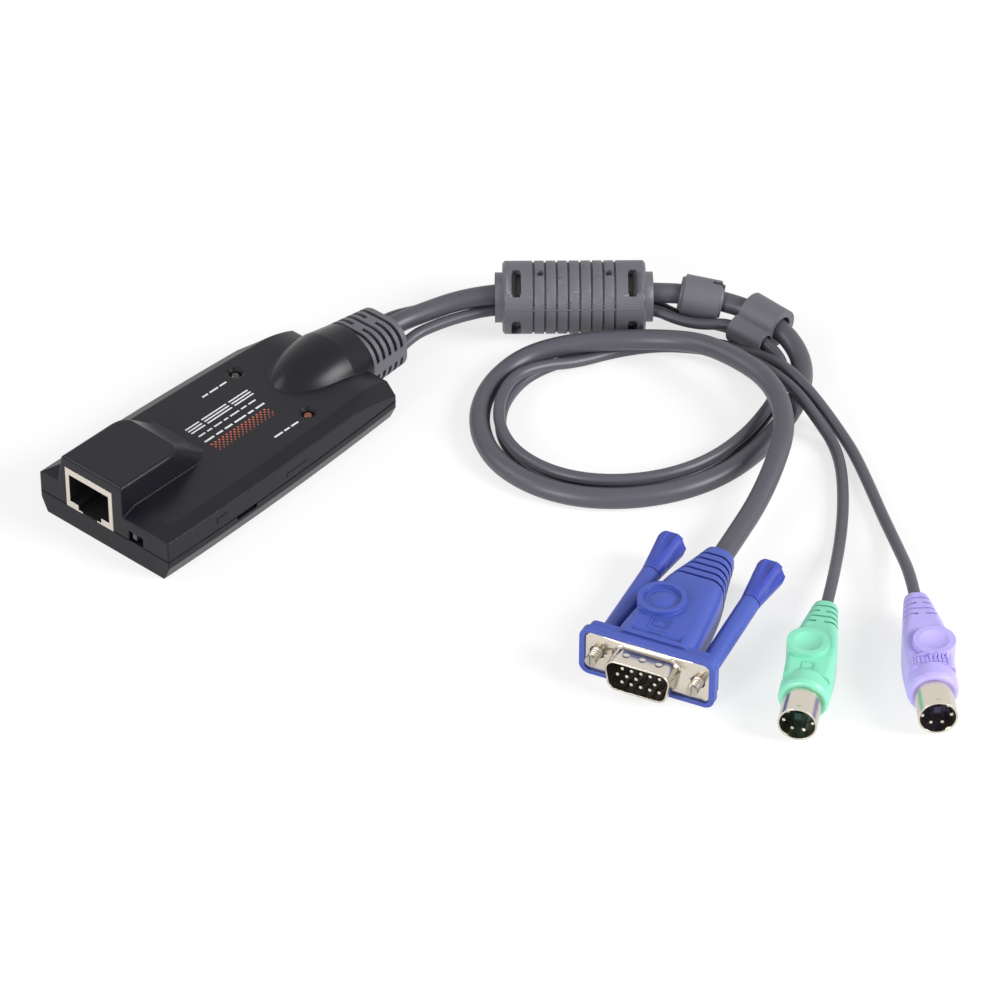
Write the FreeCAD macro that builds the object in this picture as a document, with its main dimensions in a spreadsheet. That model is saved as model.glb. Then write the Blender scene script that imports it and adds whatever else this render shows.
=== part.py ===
import FreeCAD, Part
import math
import os
import Sketcher
from types import SimpleNamespace
from FreeCAD import Placement, Rotation, Vector

# Keyboard, video and mouse adapter: a snap-together case with a network jack at one end, and a strain relief
# at the other that three cables leave, through a ferrite and two collars, to a video plug and two round plugs.
# X runs along the case from the jack to the cables, Y across it, Z up from the face that it rests on.
# Millimetres. The origin is under the middle of the case, measured with the neck that holds the strain relief.

doc = FreeCAD.newDocument("KeyboardVideoMouseAdapter")
sheet = doc.addObject("Spreadsheet::Sheet", "Sizes")

SIZES = {
    # case
    "case_length": 81.6,
    "case_front_width": 42.2,
    "case_rear_width": 37.0,
    "side_bow": 0.85,
    "seam_height": 5.6,
    "case_height": 12.65,
    "case_wall": 2.0,
    "top_band_width": 3.1,
    "top_band_drop": 1.6,
    "front_band_width": 4.0,
    "bottom_band_width": 3.8,
    "bottom_band_rise": 1.8,
    "roll_start": 70.8,
    "rear_face_height": 10.3,
    "neck_reach": 2.7,
    "neck_radius": 9.2,
    "dome_radius": 10.4,
    "dome_nose": 19.5,
    "dome_middle": 76.8,
    "cable_axis_height": 8.2,
    "neck_floor": 0.35,
    "neck_bore": 12.0,
    "cavity_length": 64.0,
    # bump over the jack
    "bump_height": 20.0,
    "bump_right": 6.3,
    "bump_left": 13.2,
    "bump_left_foot": 14.8,
    "bump_top_length": 20.5,
    "bump_foot_length": 30.0,
    "bump_corner_radius": 3.6,
    "bump_edge_radius": 0.7,
    # jack
    "jack_width": 15.4,
    "jack_height": 11.3,
    "jack_depth": 17.5,
    "jack_middle": 4.75,
    "jack_mouth_width": 13.0,
    "jack_mouth_height": 7.85,
    "jack_mouth_lift": 1.75,
    "jack_mouth_depth": 13.5,
    "jack_sheet": 0.3,
    "latch_width": 7.6,
    "latch_notch_width": 4.8,
    "jack_clearance": 0.2,
    "contact_pitch": 1.02,
    # switch
    "switch_right": 12.9,
    "switch_window_width": 4.7,
    "switch_window_height": 3.1,
    "switch_body_width": 8.4,
    "switch_body_depth": 3.6,
    "switch_travel": 1.8,
    "lever_width": 1.3,
    "lever_height": 1.5,
    # board
    "board_thickness": 1.6,
    "board_side_gap": 0.15,
    "board_length": 58.0,
    "board_front_gap": 0.2,
    "post_diameter": 5.0,
    "post_pin": 2.0,
    "post_inset": 4.0,
    "post_front_place": 18.4,
    "post_rear_inset": 12.0,
    # lamps
    "lamp_offset": 12.04,
    "lamp_place": 57.5,
    "lamp_diameter": 3.0,
    "lamp_recess": 4.2,
    "fit_clearance": 0.05,
    # strain relief
    "boot_length": 13.2,
    "boot_start_width": 18.2,
    "boot_start_height": 15.5,
    "boot_end_width": 15.8,
    "boot_end_height": 13.8,
    "boot_end_axis": 7.4,
    "boot_slot_width": 1.15,
    "boot_slot_pitch": 2.35,
    "boot_slot_depth": 1.5,
    "boot_plug_length": 6.0,
    # cables
    "video_cable_diameter": 5.1,
    "thin_cable_diameter": 2.85,
    # ferrite
    "ferrite_length": 39.2,
    "ferrite_diameter": 18.2,
    "ferrite_end_length": 1.9,
    "ferrite_end_diameter": 12.5,
    "ferrite_bore": 9.8,
    "core_diameter": 14.6,
    "core_length": 29.0,
    "ferrite_groove_pitch": 2.88,
    "ferrite_groove_width": 0.55,
    "ferrite_groove_depth": 0.4,
    "ferrite_slot_place": 14.4,
    "ferrite_slot_width": 1.85,
    "ferrite_slot_depth": 1.1,
    "ferrite_hole_place": 8.45,
    "ferrite_hole": 1.75,
    # collars
    "small_collar_diameter": 10.1,
    "small_collar_length": 10.8,
    "collar_bore_gap": 0.6,
    "thin_bore_gap": 0.45,
    "double_collar_length": 10.2,
    "big_lobe_diameter": 9.8,
    "small_lobe_diameter": 7.8,
    "lobe_spacing": 5.64,
    # video plug
    "flange_width": 30.6,
    "flange_height": 11.1,
    "flange_sheet": 0.8,
    "frame_width": 33.4,
    "frame_height": 13.0,
    "frame_lip": 0.4,
    "frame_depth": 1.9,
    "frame_step_depth": 2.7,
    "frame_step": 0.8,
    "screw_spacing": 25.0,
    "sleeve_diameter": 4.8,
    "sleeve_length": 30.8,
    "shell_reach": 5.9,
    "shell_width": 16.92,
    "shell_height": 8.36,
    "shell_sheet": 0.4,
    "pin_pitch": 2.29,
    "pin_row_pitch": 1.98,
    "pin_diameter": 0.8,
    "pin_reach": 5.0,
    "disc_diameter": 11.4,
    "thumb_disc_top": 14.0,
    "thumb_ring_outer": 4.5,
    "thumb_ring_inner": 3.1,
    "thumb_ring_depth": 0.8,
    "thumb_dome_drop": 0.15,
    "insulator_back": 3.5,
    "screw_hole": 3.5,
    "hood_groove_pitch": 2.6,
    "hood_groove_width": 0.9,
    "screw_diameter": 3.0,
    "thread_diameter": 2.8,
    "screw_reach": 5.2,
    "knob_length": 13.6,
    "knob_front_diameter": 4.8,
    "knob_rear_diameter": 7.6,
    "screw_grip": 9.0,
    "flute_diameter": 3.0,
    "moving_gap": 0.3,
    # round plugs
    "plug_length": 41.2,
    "plug_axis_height": 5.95,
    "plug_shell_diameter": 9.0,
    "plug_shell_sheet": 0.4,
    "plug_shell_reach": 8.0,
    "plug_collar_radius": 5.85,
    "plug_collar_length": 5.2,
    "thumb_disc_diameter": 9.8,
    "plug_disc_top": 12.3,
    "plug_shell_seat": 2.0,
    "thumb_dish_radius": 3.4,
    "thumb_dish_depth": 0.9,
    "plug_shell_step": 0.2,
    "plug_shell_gap": 0.2,
    "round_pin_diameter": 0.8,
}


class Size:
    """A dimension that knows both its number and the spreadsheet expression that gives it."""

    def __init__(self, value, text):
        self.value = float(value)
        self.text = text

    def __float__(self):
        return self.value

    def __add__(self, other):
        other = as_size(other)
        return Size(self.value + other.value, f"({self.text} + {other.text})")

    def __sub__(self, other):
        other = as_size(other)
        return Size(self.value - other.value, f"({self.text} - {other.text})")

    def __mul__(self, other):
        other = as_size(other)
        return Size(self.value * other.value, f"({self.text} * {other.text})")

    def __truediv__(self, other):
        other = as_size(other)
        return Size(self.value / other.value, f"({self.text} / {other.text})")

    def __radd__(self, other):
        return as_size(other) + self

    def __rsub__(self, other):
        return as_size(other) - self

    def __rmul__(self, other):
        return as_size(other) * self

    def __neg__(self):
        return Size(-self.value, f"(0 - {self.text})")


def as_size(number):
    """A plain number as a Size, and a Size as it is."""
    if isinstance(number, Size):
        return number
    text = f"{float(number):.6f}"
    return Size(number, text if number >= 0 else f"(0 - {text[1:]})")


for row, (alias, value) in enumerate(SIZES.items(), start=1):
    sheet.set(f"A{row}", alias.replace("_", " "))
    sheet.set(f"B{row}", str(value))
    sheet.setAlias(f"B{row}", alias)
doc.recompute()
S = SimpleNamespace(**{alias: Size(value, f"Sizes.{alias}") for alias, value in SIZES.items()})

nodes = []


def bind(thing, prop, size):
    """Ties a property to the spreadsheet."""
    thing.setExpression(prop, as_size(size).text)


def new_body(label, placement=None):
    """A PartDesign body that becomes one node."""
    body = doc.addObject("PartDesign::Body", label)
    body.Label = label
    if placement is not None:
        body.Placement = placement
    nodes.append(body)
    return body


def origin_feature(body, role):
    """One of the body's own origin planes or axes."""
    return next(feature for feature in body.Origin.OriginFeatures if feature.Role == role)


def new_sketch(body, name, role, lift=0):
    """An empty sketch on one of the body's origin planes, lifted along that plane's normal."""
    sketch = body.newObject("Sketcher::SketchObject", name)
    sketch.AttachmentSupport = [(origin_feature(body, role), "")]
    sketch.MapMode = "FlatFace"
    lift = as_size(lift)
    sketch.AttachmentOffset = Placement(Vector(0, 0, lift.value), Rotation())
    bind(sketch, "AttachmentOffset.Base.z", lift)
    return sketch


def add_outline(sketch, corners, arcs=None):
    """A closed outline through the corners; arcs gives a side's radius, minus for one that curves inward."""
    arcs = arcs or {}
    first = sketch.GeometryCount
    points = [Vector(float(x), float(y), 0) for x, y in corners]
    starts = []
    for side, start in enumerate(points):
        end = points[(side + 1) % len(points)]
        if side in arcs:
            radius = float(arcs[side])
            chord = end - start
            outward = Vector(chord.y, -chord.x, 0).normalize()
            sagitta = abs(radius) - math.sqrt(radius ** 2 - (chord.Length / 2) ** 2)
            middle = (start + end) / 2 + outward * math.copysign(sagitta, radius)
            sketch.addGeometry(Part.Arc(start, middle, end), False)
        else:
            sketch.addGeometry(Part.LineSegment(start, end), False)
        starts.append(1 if side not in arcs or float(arcs[side]) > 0 else 2)
    for side, (x, y) in enumerate(corners):
        following = (side + 1) % len(points)
        sketch.addConstraint(Sketcher.Constraint(
            "Coincident", first + side, 3 - starts[side], first + following, starts[following]))
        for kind, place in (("DistanceX", x), ("DistanceY", y)):
            number = sketch.addConstraint(Sketcher.Constraint(
                kind, -1, 1, first + side, starts[side], float(place)))
            bind(sketch, f"Constraints[{number}]", place)
        if side in arcs:
            number = sketch.addConstraint(Sketcher.Constraint("Radius", first + side, abs(float(arcs[side]))))
            bind(sketch, f"Constraints[{number}]", arcs[side] if float(arcs[side]) > 0 else -arcs[side])
    return sketch


def add_circle(sketch, x, y, diameter):
    """A circle by its middle and diameter."""
    number = sketch.addGeometry(
        Part.Circle(Vector(float(x), float(y), 0), Vector(0, 0, 1), float(diameter) / 2), False)
    for kind, place in (("DistanceX", x), ("DistanceY", y)):
        constraint = sketch.addConstraint(Sketcher.Constraint(kind, -1, 1, number, 3, float(place)))
        bind(sketch, f"Constraints[{constraint}]", place)
    constraint = sketch.addConstraint(Sketcher.Constraint("Diameter", number, float(diameter)))
    bind(sketch, f"Constraints[{constraint}]", diameter)
    return sketch


def rounded_corners(width, height, radius, x=0, y=0):
    """Corners and arcs of a rectangle with round corners, for add_outline."""
    half_width, half_height = width / 2, height / 2
    corners = [
        (x - half_width + radius, y - half_height), (x + half_width - radius, y - half_height),
        (x + half_width, y - half_height + radius), (x + half_width, y + half_height - radius),
        (x + half_width - radius, y + half_height), (x - half_width + radius, y + half_height),
        (x - half_width, y + half_height - radius), (x - half_width, y - half_height + radius)]
    return corners, {1: radius, 3: radius, 5: radius, 7: radius}


def box_corners(x0, x1, y0, y1):
    """Corners of a plain rectangle."""
    return [(x0, y0), (x1, y0), (x1, y1), (x0, y1)]


def pad(body, name, sketch, length, reverse=False):
    """Pad along the sketch's normal, or against it when reversed."""
    feature = body.newObject("PartDesign::Pad", name)
    feature.Profile = sketch
    feature.Length = float(length)
    bind(feature, "Length", length)
    feature.Reversed = reverse
    sketch.Visibility = False
    return feature


def pocket(body, name, sketch, length=None, along_normal=False, both_ways=False):
    """Pocket against the sketch's normal, or along it; without a length it cuts through everything."""
    feature = body.newObject("PartDesign::Pocket", name)
    feature.Profile = sketch
    if length is None:
        feature.Type = "ThroughAll"
    else:
        feature.Length = float(length)
        bind(feature, "Length", length)
    feature.Reversed = along_normal
    if both_ways:
        feature.SideType = "Symmetric"
    sketch.Visibility = False
    return feature


def turned(body, name, sketch, axis, kind="Revolution", angle=360):
    """Revolution or groove about one of the sketch's own axes."""
    feature = body.newObject(f"PartDesign::{kind}", name)
    feature.Profile = sketch
    feature.ReferenceAxis = (sketch, [axis])
    feature.Angle = angle
    sketch.Visibility = False
    return feature


def edge_names(feature, wanted):
    """Names of the feature's edges that pass the test, after a recompute."""
    doc.recompute()
    return [f"Edge{number}" for number, edge in enumerate(feature.Shape.Edges, start=1) if wanted(edge)]


def dress(body, kind, name, base, edges, **sizes):
    """A fillet or chamfer on the named edges of the base feature."""
    feature = body.newObject(f"PartDesign::{kind}", name)
    feature.Base = (base, edges)
    for prop, size in sizes.items():
        if isinstance(size, Size):
            setattr(feature, prop, size.value)
            bind(feature, prop, size)
        else:
            setattr(feature, prop, size)
    return feature


def primitive(kind, name, placement, **sizes):
    """A Part primitive with sizes tied to the spreadsheet."""
    thing = doc.addObject(f"Part::{kind}", name)
    for prop, size in sizes.items():
        setattr(thing, prop, float(size))
        bind(thing, prop, size)
    thing.Placement = placement
    return thing


def group(label, parts):
    """Separate solids of one kind that share a node."""
    thing = doc.addObject("Part::Compound", label)
    thing.Label = label
    thing.Links = parts
    nodes.append(thing)
    return thing


def along_x(x, y, z):
    """Placement that stands a cylinder at a point, lying along X."""
    return Placement(Vector(float(x), float(y), float(z)), Rotation(Vector(0, 1, 0), 90))


# ---------------------------------------------------------------- places along the case
front = -((S.case_length + S.neck_reach) / 2)
rear = front + S.case_length
neck_end = rear + S.neck_reach
board_top = S.seam_height
board_bottom = board_top - S.board_thickness
cavity_roof = S.case_height - S.case_wall
bow_radius = S.case_length * S.case_length / (8 * S.side_bow) + S.side_bow / 2
jack_left = S.jack_middle + S.jack_width / 2
jack_right = S.jack_middle - S.jack_width / 2
jack_top = S.seam_height + S.jack_height


def case_outline(sketch):
    """Plan of the case: straight ends and long sides that bow outward."""
    front_half, rear_half = S.case_front_width / 2, S.case_rear_width / 2
    corners = [(front, -front_half), (rear, -rear_half), (rear, rear_half), (front, front_half)]
    return add_outline(sketch, corners, {0: bow_radius, 2: bow_radius})


def room_half_width(place):
    """Half the width of the room inside the case, one wall in from its outside, at a distance from the front."""
    taper = (S.case_front_width - S.case_rear_width) / 2 / S.case_length
    return S.case_front_width / 2 - S.case_wall - taper * place


def tapered_plan(sketch, begin, end, gap=0):
    """Plan that follows the room's two sides, a gap in from them, between two distances from the front."""
    near, far = room_half_width(begin) - gap, room_half_width(end) - gap
    return add_outline(sketch, [(front + begin, -near), (front + end, -far), (front + end, far), (front + begin, near)])


def neck_blank(body):
    """Egg-shaped dome and neck round the cable axis: half an ellipse, then a cone, turned about that axis."""
    sketch = new_sketch(body, "DomeProfile", "XZ_Plane")
    sketch.AttachmentOffset = Placement(Vector(0, float(S.cable_axis_height), 0), Rotation())
    bind(sketch, "AttachmentOffset.Base.y", S.cable_axis_height)
    middle = float(front + S.dome_middle)
    nose = middle - float(S.dome_nose)
    crown = float(S.dome_radius)
    end = float(neck_end)
    mouth = float(S.neck_radius)
    ellipse = Part.Ellipse(Vector(middle, 0, 0), float(S.dome_nose), crown)
    sketch.addGeometry(Part.ArcOfEllipse(ellipse, math.pi / 2, math.pi), False)
    sketch.addGeometry(Part.LineSegment(Vector(middle, crown, 0), Vector(end, mouth, 0)), False)
    sketch.addGeometry(Part.LineSegment(Vector(end, mouth, 0), Vector(end, 0, 0)), False)
    sketch.addGeometry(Part.LineSegment(Vector(end, 0, 0), Vector(nose, 0, 0)), False)
    return turned(body, "Dome", sketch, "H_Axis")


def clear_slab(body, name, bottom, top):
    """Cuts away everything between two heights."""
    sketch = new_sketch(body, f"{name}Plan", "XY_Plane", bottom)
    add_outline(sketch, box_corners(front - 5, neck_end + 5, -S.case_front_width, S.case_front_width))
    return pocket(body, name, sketch, top - bottom, along_normal=True)


def neck_bore(body):
    """Round hole in the neck for the strain relief's plug and the wires."""
    sketch = new_sketch(body, "NeckBorePlan", "YZ_Plane", neck_end)
    add_circle(sketch, 0, S.cable_axis_height, S.neck_bore)
    return pocket(body, "NeckBore", sketch, neck_end - front - S.cavity_length + 1)


# ---------------------------------------------------------------- upper case
upper = new_body("upper_case")
plan = case_outline(new_sketch(upper, "CasePlan", "XY_Plane", S.seam_height))
shell = pad(upper, "CaseBlock", plan, S.case_height - S.seam_height)


def top_side_edge(edge):
    """The long bowed edges of the case's top."""
    box = edge.BoundBox
    return (box.XLength > 0.9 * float(S.case_length) and abs(box.ZMin - float(S.case_height)) < 0.01
            and box.ZLength < 0.01 and abs(box.Center.y) > float(S.case_rear_width) / 3)


bands = dress(upper, "Chamfer", "SideBands", shell, edge_names(shell, top_side_edge),
              ChamferType="Two distances", Size=S.top_band_drop, Size2=S.top_band_width)

band = new_sketch(upper, "FrontBandProfile", "XZ_Plane")
add_outline(band, [(front, S.case_height - S.top_band_drop), (front + S.front_band_width, S.case_height),
                   (front, S.case_height + 1), (front - 1, S.case_height + 1),
                   (front - 1, S.case_height - S.top_band_drop)])
pocket(upper, "FrontBand", band, both_ways=True)

# The rear end of the top rolls down to the cable end in an arc.
roll = new_sketch(upper, "RearRollProfile", "XZ_Plane")
roll_drop = S.case_height - S.rear_face_height
roll_run = S.case_length - S.roll_start
roll_radius = (roll_run * roll_run + roll_drop * roll_drop) / (2 * roll_drop)
add_outline(roll, [(front + S.roll_start, S.case_height), (rear, S.rear_face_height),
                   (rear + 1, S.rear_face_height), (rear + 1, S.case_height + 1),
                   (front + S.roll_start, S.case_height + 1)], {0: -roll_radius})
pocket(upper, "RearRoll", roll, both_ways=True)

# The side bands widen and twist down towards the rear corners.
BAND_STATIONS = [
    # name, distance from the front, side edge (across, height), steepness of the band
    ("BandStart", 65.0, 19.75, 11.05, 0.62),
    ("BandMiddle", 73.8, 18.95, 9.75, 0.95),
    ("BandEnd", 82.8, 18.4, 6.9, 1.05),
]
for station, place, side, low, climb in BAND_STATIONS:
    section = new_sketch(upper, station, "YZ_Plane", front + place)
    rise = float(S.case_height) + 3 - low
    add_outline(section, [(side + 1, low - climb), (side + 4, low - climb), (side + 4, low + rise),
                          (side - rise / climb, low + rise)])
cutter = upper.newObject("PartDesign::SubtractiveLoft", "RearBand")
cutter.Profile = upper.getObject("BandStart")
cutter.Sections = [upper.getObject("BandMiddle"), upper.getObject("BandEnd")]
mirror = upper.newObject("PartDesign::Mirrored", "RearBandLeft")
mirror.Originals = [cutter]
mirror.MirrorPlane = (origin_feature(upper, "XZ_Plane"), [""])
upper.Tip = mirror
neck_blank(upper)
clear_slab(upper, "SeamCut", -S.case_height, S.seam_height)

# Bump over the jack: upright at the front and right, drafted on the left, sloping down at the rear.
bump = new_sketch(upper, "BumpFront", "YZ_Plane", front)
bump_root = S.case_height - S.top_band_drop - 2
add_outline(bump, [(-S.bump_right, bump_root), (S.bump_left_foot, bump_root), (S.bump_left_foot, S.case_height),
                   (S.bump_left, S.bump_height), (-S.bump_right, S.bump_height)])
block = pad(upper, "BumpBlock", bump, S.bump_foot_length)
slope = new_sketch(upper, "BumpSlopeProfile", "XZ_Plane")
add_outline(slope, [(front + S.bump_top_length, S.bump_height), (front + S.bump_foot_length, S.case_height),
                    (front + S.bump_foot_length + 1, S.case_height),
                    (front + S.bump_foot_length + 1, S.bump_height + 1),
                    (front + S.bump_top_length, S.bump_height + 1)])
slope_cut = pocket(upper, "BumpSlope", slope, both_ways=True)


def bump_corner(edge):
    """The two upright corners where the bump's sides meet its rear slope."""
    box = edge.BoundBox
    return (box.XMin > float(front + S.bump_top_length) - 0.1 and box.XMax < float(front + S.bump_foot_length) + 0.1
            and box.ZMax > float(S.bump_height) - 0.1 and box.ZLength > 5)


corners = dress(upper, "Fillet", "BumpCorners", slope_cut, edge_names(slope_cut, bump_corner),
                Radius=S.bump_corner_radius)


def bump_rim(edge):
    """The edges round the bump's flat top."""
    box = edge.BoundBox
    return box.ZMin > float(S.bump_height) - 0.01


dress(upper, "Fillet", "BumpRim", corners, edge_names(corners, bump_rim), Radius=S.bump_edge_radius)

room = tapered_plan(new_sketch(upper, "RoomPlan", "XY_Plane", S.seam_height), S.case_wall, S.cavity_length)
pocket(upper, "Room", room, cavity_roof - S.seam_height, along_normal=True)

jack_bay = new_sketch(upper, "JackBayPlan", "XY_Plane", S.seam_height)
add_outline(jack_bay, box_corners(front - 1, front + S.jack_depth + S.jack_clearance,
                                  jack_right - S.fit_clearance, jack_left + S.fit_clearance))
pocket(upper, "JackBay", jack_bay, S.jack_height + S.fit_clearance, along_normal=True)

window = new_sketch(upper, "SwitchWindowShape", "YZ_Plane", front)
add_outline(window, box_corners(-S.switch_right, -S.switch_right + S.switch_window_width,
                                S.seam_height - 1, S.seam_height + S.switch_window_height))
pocket(upper, "SwitchWindow", window, S.case_wall + 0.5, along_normal=True)

lamp_x = front + S.lamp_place
lamp_bore = new_sketch(upper, "LampBorePlan", "XY_Plane", S.case_height)
lamp_recess = new_sketch(upper, "LampRecessPlan", "XY_Plane", S.case_height)
for across in (S.lamp_offset, -S.lamp_offset):
    add_circle(lamp_bore, lamp_x, across, S.lamp_diameter + 2 * S.fit_clearance)
    add_circle(lamp_recess, lamp_x, across, S.lamp_recess)
pocket(upper, "LampBores", lamp_bore, S.case_wall + 1)
pocket(upper, "LampRecesses", lamp_recess, 0.5)
neck_bore(upper)

# ---------------------------------------------------------------- lower case
lower = new_body("lower_case")
plan = case_outline(new_sketch(lower, "CasePlan", "XY_Plane"))
tray = pad(lower, "CaseTray", plan, S.seam_height)


def bottom_side_edge(edge):
    """The long bowed edges of the case's underside."""
    box = edge.BoundBox
    return box.XLength > 0.9 * float(S.case_length) and box.ZMax < 0.01


dress(lower, "Chamfer", "BottomBands", tray, edge_names(tray, bottom_side_edge),
      ChamferType="Two distances", Size=S.bottom_band_width, Size2=S.bottom_band_rise)
neck_blank(lower)
clear_slab(lower, "SeamCut", S.seam_height, S.case_height + S.bump_height)
clear_slab(lower, "FloorCut", -S.case_height, 0)
room = tapered_plan(new_sketch(lower, "RoomPlan", "XY_Plane", S.seam_height), S.case_wall, S.cavity_length)
pocket(lower, "Room", room, S.seam_height - S.case_wall)
neck_bore(lower)

board_start = S.case_wall + S.board_front_gap
board_end = S.case_wall + S.board_length
post_length = board_bottom - S.case_wall
post_places = []
posts = new_sketch(lower, "PostPlan", "XY_Plane", S.case_wall - 0.5)
pins = new_sketch(lower, "PostPinPlan", "XY_Plane", board_bottom - 0.5)
for along in (S.case_wall + S.post_front_place, board_end - S.post_rear_inset):
    for side in (1, -1):
        across = side * (room_half_width(board_end) - S.board_side_gap - S.post_inset)
        post_places.append((front + along, across))
        add_circle(posts, front + along, across, S.post_diameter)
        add_circle(pins, front + along, across, S.post_pin)
pad(lower, "Posts", posts, post_length + 0.5)
pad(lower, "PostPins", pins, S.board_thickness + 1)

# Prying slot under the seam, on the right side.
slot = new_sketch(lower, "PrySlotShape", "XZ_Plane", S.case_front_width / 2 + 1)
add_outline(slot, box_corners(front + 23.1, front + 30.1, S.seam_height - 1.1, S.seam_height + 1))
pocket(lower, "PrySlot", slot, 2.2)

# ---------------------------------------------------------------- board and what it carries
board = new_body("circuit_board")
plan = new_sketch(board, "BoardPlan", "XY_Plane", board_bottom)
tapered_plan(plan, board_start, board_end, S.board_side_gap)
for along, across in post_places:
    add_circle(plan, along, across, S.post_pin + 4 * S.fit_clearance)
pad(board, "BoardSheet", plan, S.board_thickness)


def chip(label, middle_x, middle_y, side, height, legs, pitch):
    """Flat package with gull-wing legs along two sides, standing on the board."""
    stand = 0.15
    bottom = float(board_top) + stand
    solids = [primitive("Box", f"{label}_package",
                        Placement(Vector(float(middle_x) - side / 2, middle_y - side / 2, bottom), Rotation()),
                        Length=side, Width=side, Height=height)]
    for number in range(legs):
        along = float(middle_x) + (number - (legs - 1) / 2) * pitch
        for end in (-1, 1):
            edge = middle_y + end * (side / 2 + 0.5) - 0.5
            solids.append(primitive("Box", f"{label}_leg",
                                    Placement(Vector(along - 0.2, edge, float(board_top)), Rotation()),
                                    Length=0.4, Width=1, Height=stand + 0.4))
    return group(label, solids)


chip("controller_chip", front + 40, 2.5, 12.0, 1.4, 10, 1.1)
chip("video_driver_chip", front + 50, 0.0, 6.0, 1.3, 5, 1.1)

crystal = new_body("crystal_can")
plan = new_sketch(crystal, "CanPlan", "XY_Plane", board_top)
outline, arcs = rounded_corners(as_size(10.2), as_size(4.4), as_size(2.1), front + 40, as_size(-10.5))
add_outline(plan, outline, arcs)
pad(crystal, "Can", plan, as_size(3.5))

capacitor_cans = []
for number, (along, across) in enumerate([(26.0, -12.5), (26.0, -6.4), (50.0, 8.4), (50.0, -8.4)]):
    capacitor_cans.append(primitive(
        "Cylinder", f"capacitor_{number}",
        Placement(Vector(float(front) + along, across, float(board_top)), Rotation()),
        Radius=as_size(2.0), Height=as_size(4.4)))
group("capacitors", capacitor_cans)

header = new_body("wire_header")
header_start = front + board_end - 4.5
plan = new_sketch(header, "HeaderPlan", "XY_Plane", board_top)
add_outline(plan, box_corners(header_start, header_start + 3, as_size(-5.4), as_size(5.4)))
pad(header, "HeaderBlock", plan, as_size(4.2))

boot_plug_start = neck_end - S.boot_plug_length
wires = []
for number in range(9):
    across = (number - 4) * 1.15
    wires.append(primitive("Cylinder", f"wire_{number}",
                           along_x(header_start + 3, across, float(board_top) + 2.6),
                           Radius=as_size(0.45), Height=boot_plug_start - header_start - 3))
group("signal_wires", wires)

# ---------------------------------------------------------------- lamps
for label, side in (("led_online", 1), ("led_power", -1)):
    lamp = new_body(label)
    shape = new_sketch(lamp, "LampProfile", "XZ_Plane")
    shape.AttachmentOffset = Placement(Vector(float(lamp_x), 0, -side * float(S.lamp_offset)), Rotation())
    radius = S.lamp_diameter / 2
    tip = S.case_height - 0.35
    bind(shape, "AttachmentOffset.Base.x", lamp_x)
    bind(shape, "AttachmentOffset.Base.z", -side * S.lamp_offset)
    add_outline(shape, [(as_size(0), board_top), (radius + 0.4, board_top), (radius + 0.4, board_top + 1),
                        (radius, board_top + 1), (radius, tip - radius), (as_size(0), tip)], {4: radius})
    turned(lamp, "Lamp", shape, "V_Axis")

# ---------------------------------------------------------------- network jack
shield = new_body("jack_shield")
face = new_sketch(shield, "ShieldFace", "YZ_Plane", front)
add_outline(face, box_corners(jack_right, jack_left, S.seam_height, jack_top))
pad(shield, "ShieldBox", face, S.jack_depth)
inside = new_sketch(shield, "ShieldInside", "XY_Plane", S.seam_height)
add_outline(inside, box_corners(front + S.jack_sheet, front + S.jack_depth - S.jack_sheet,
                                jack_right + S.jack_sheet, jack_left - S.jack_sheet))
pocket(shield, "ShieldRoom", inside, S.jack_height - S.jack_sheet, along_normal=True)


def jack_mouth(body, name, start, depth, floor):
    """The plug opening with its two-step latch notch, cut inward from a plane."""
    middle, bottom = S.jack_middle, S.seam_height + S.jack_mouth_lift
    half, latch, notch = S.jack_mouth_width / 2, S.latch_width / 2, S.latch_notch_width / 2
    step = bottom - 1.35
    sketch = new_sketch(body, f"{name}Shape", "YZ_Plane", start)
    top = bottom + S.jack_mouth_height
    add_outline(sketch, [
        (middle - half, bottom), (middle - latch, bottom), (middle - latch, step), (middle - notch, step),
        (middle - notch, floor), (middle + notch, floor), (middle + notch, step), (middle + latch, step),
        (middle + latch, bottom), (middle + half, bottom), (middle + half, top), (middle - half, top)])
    return pocket(body, name, sketch, depth, along_normal=True)


jack_mouth(shield, "ShieldMouth", front, S.jack_sheet + 0.1, S.seam_height - 1)

insert = new_body("jack_insert")
slack = S.jack_sheet + S.fit_clearance
face = new_sketch(insert, "InsertFace", "YZ_Plane", front + slack)
add_outline(face, box_corners(jack_right + slack, jack_left - slack, S.seam_height, jack_top - slack))
pad(insert, "InsertBlock", face, S.jack_depth - 2 * slack)
jack_mouth(insert, "InsertMouth", front + slack, S.jack_mouth_depth, S.seam_height + 0.2)

contacts = []
contact_top = S.seam_height + S.jack_mouth_lift + S.jack_mouth_height - 0.1
for number in range(8):
    across = float(S.jack_middle + (number - 3.5) * S.contact_pitch)
    contacts.append(primitive(
        "Box", f"contact_{number}",
        Placement(Vector(float(front) + 3.2, across - 0.2, float(contact_top) - 0.4),
                  Rotation(Vector(0, 1, 0), 16)),
        Length=as_size(9.2), Width=as_size(0.4), Height=as_size(0.3)))
group("jack_contacts", contacts)

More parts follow.
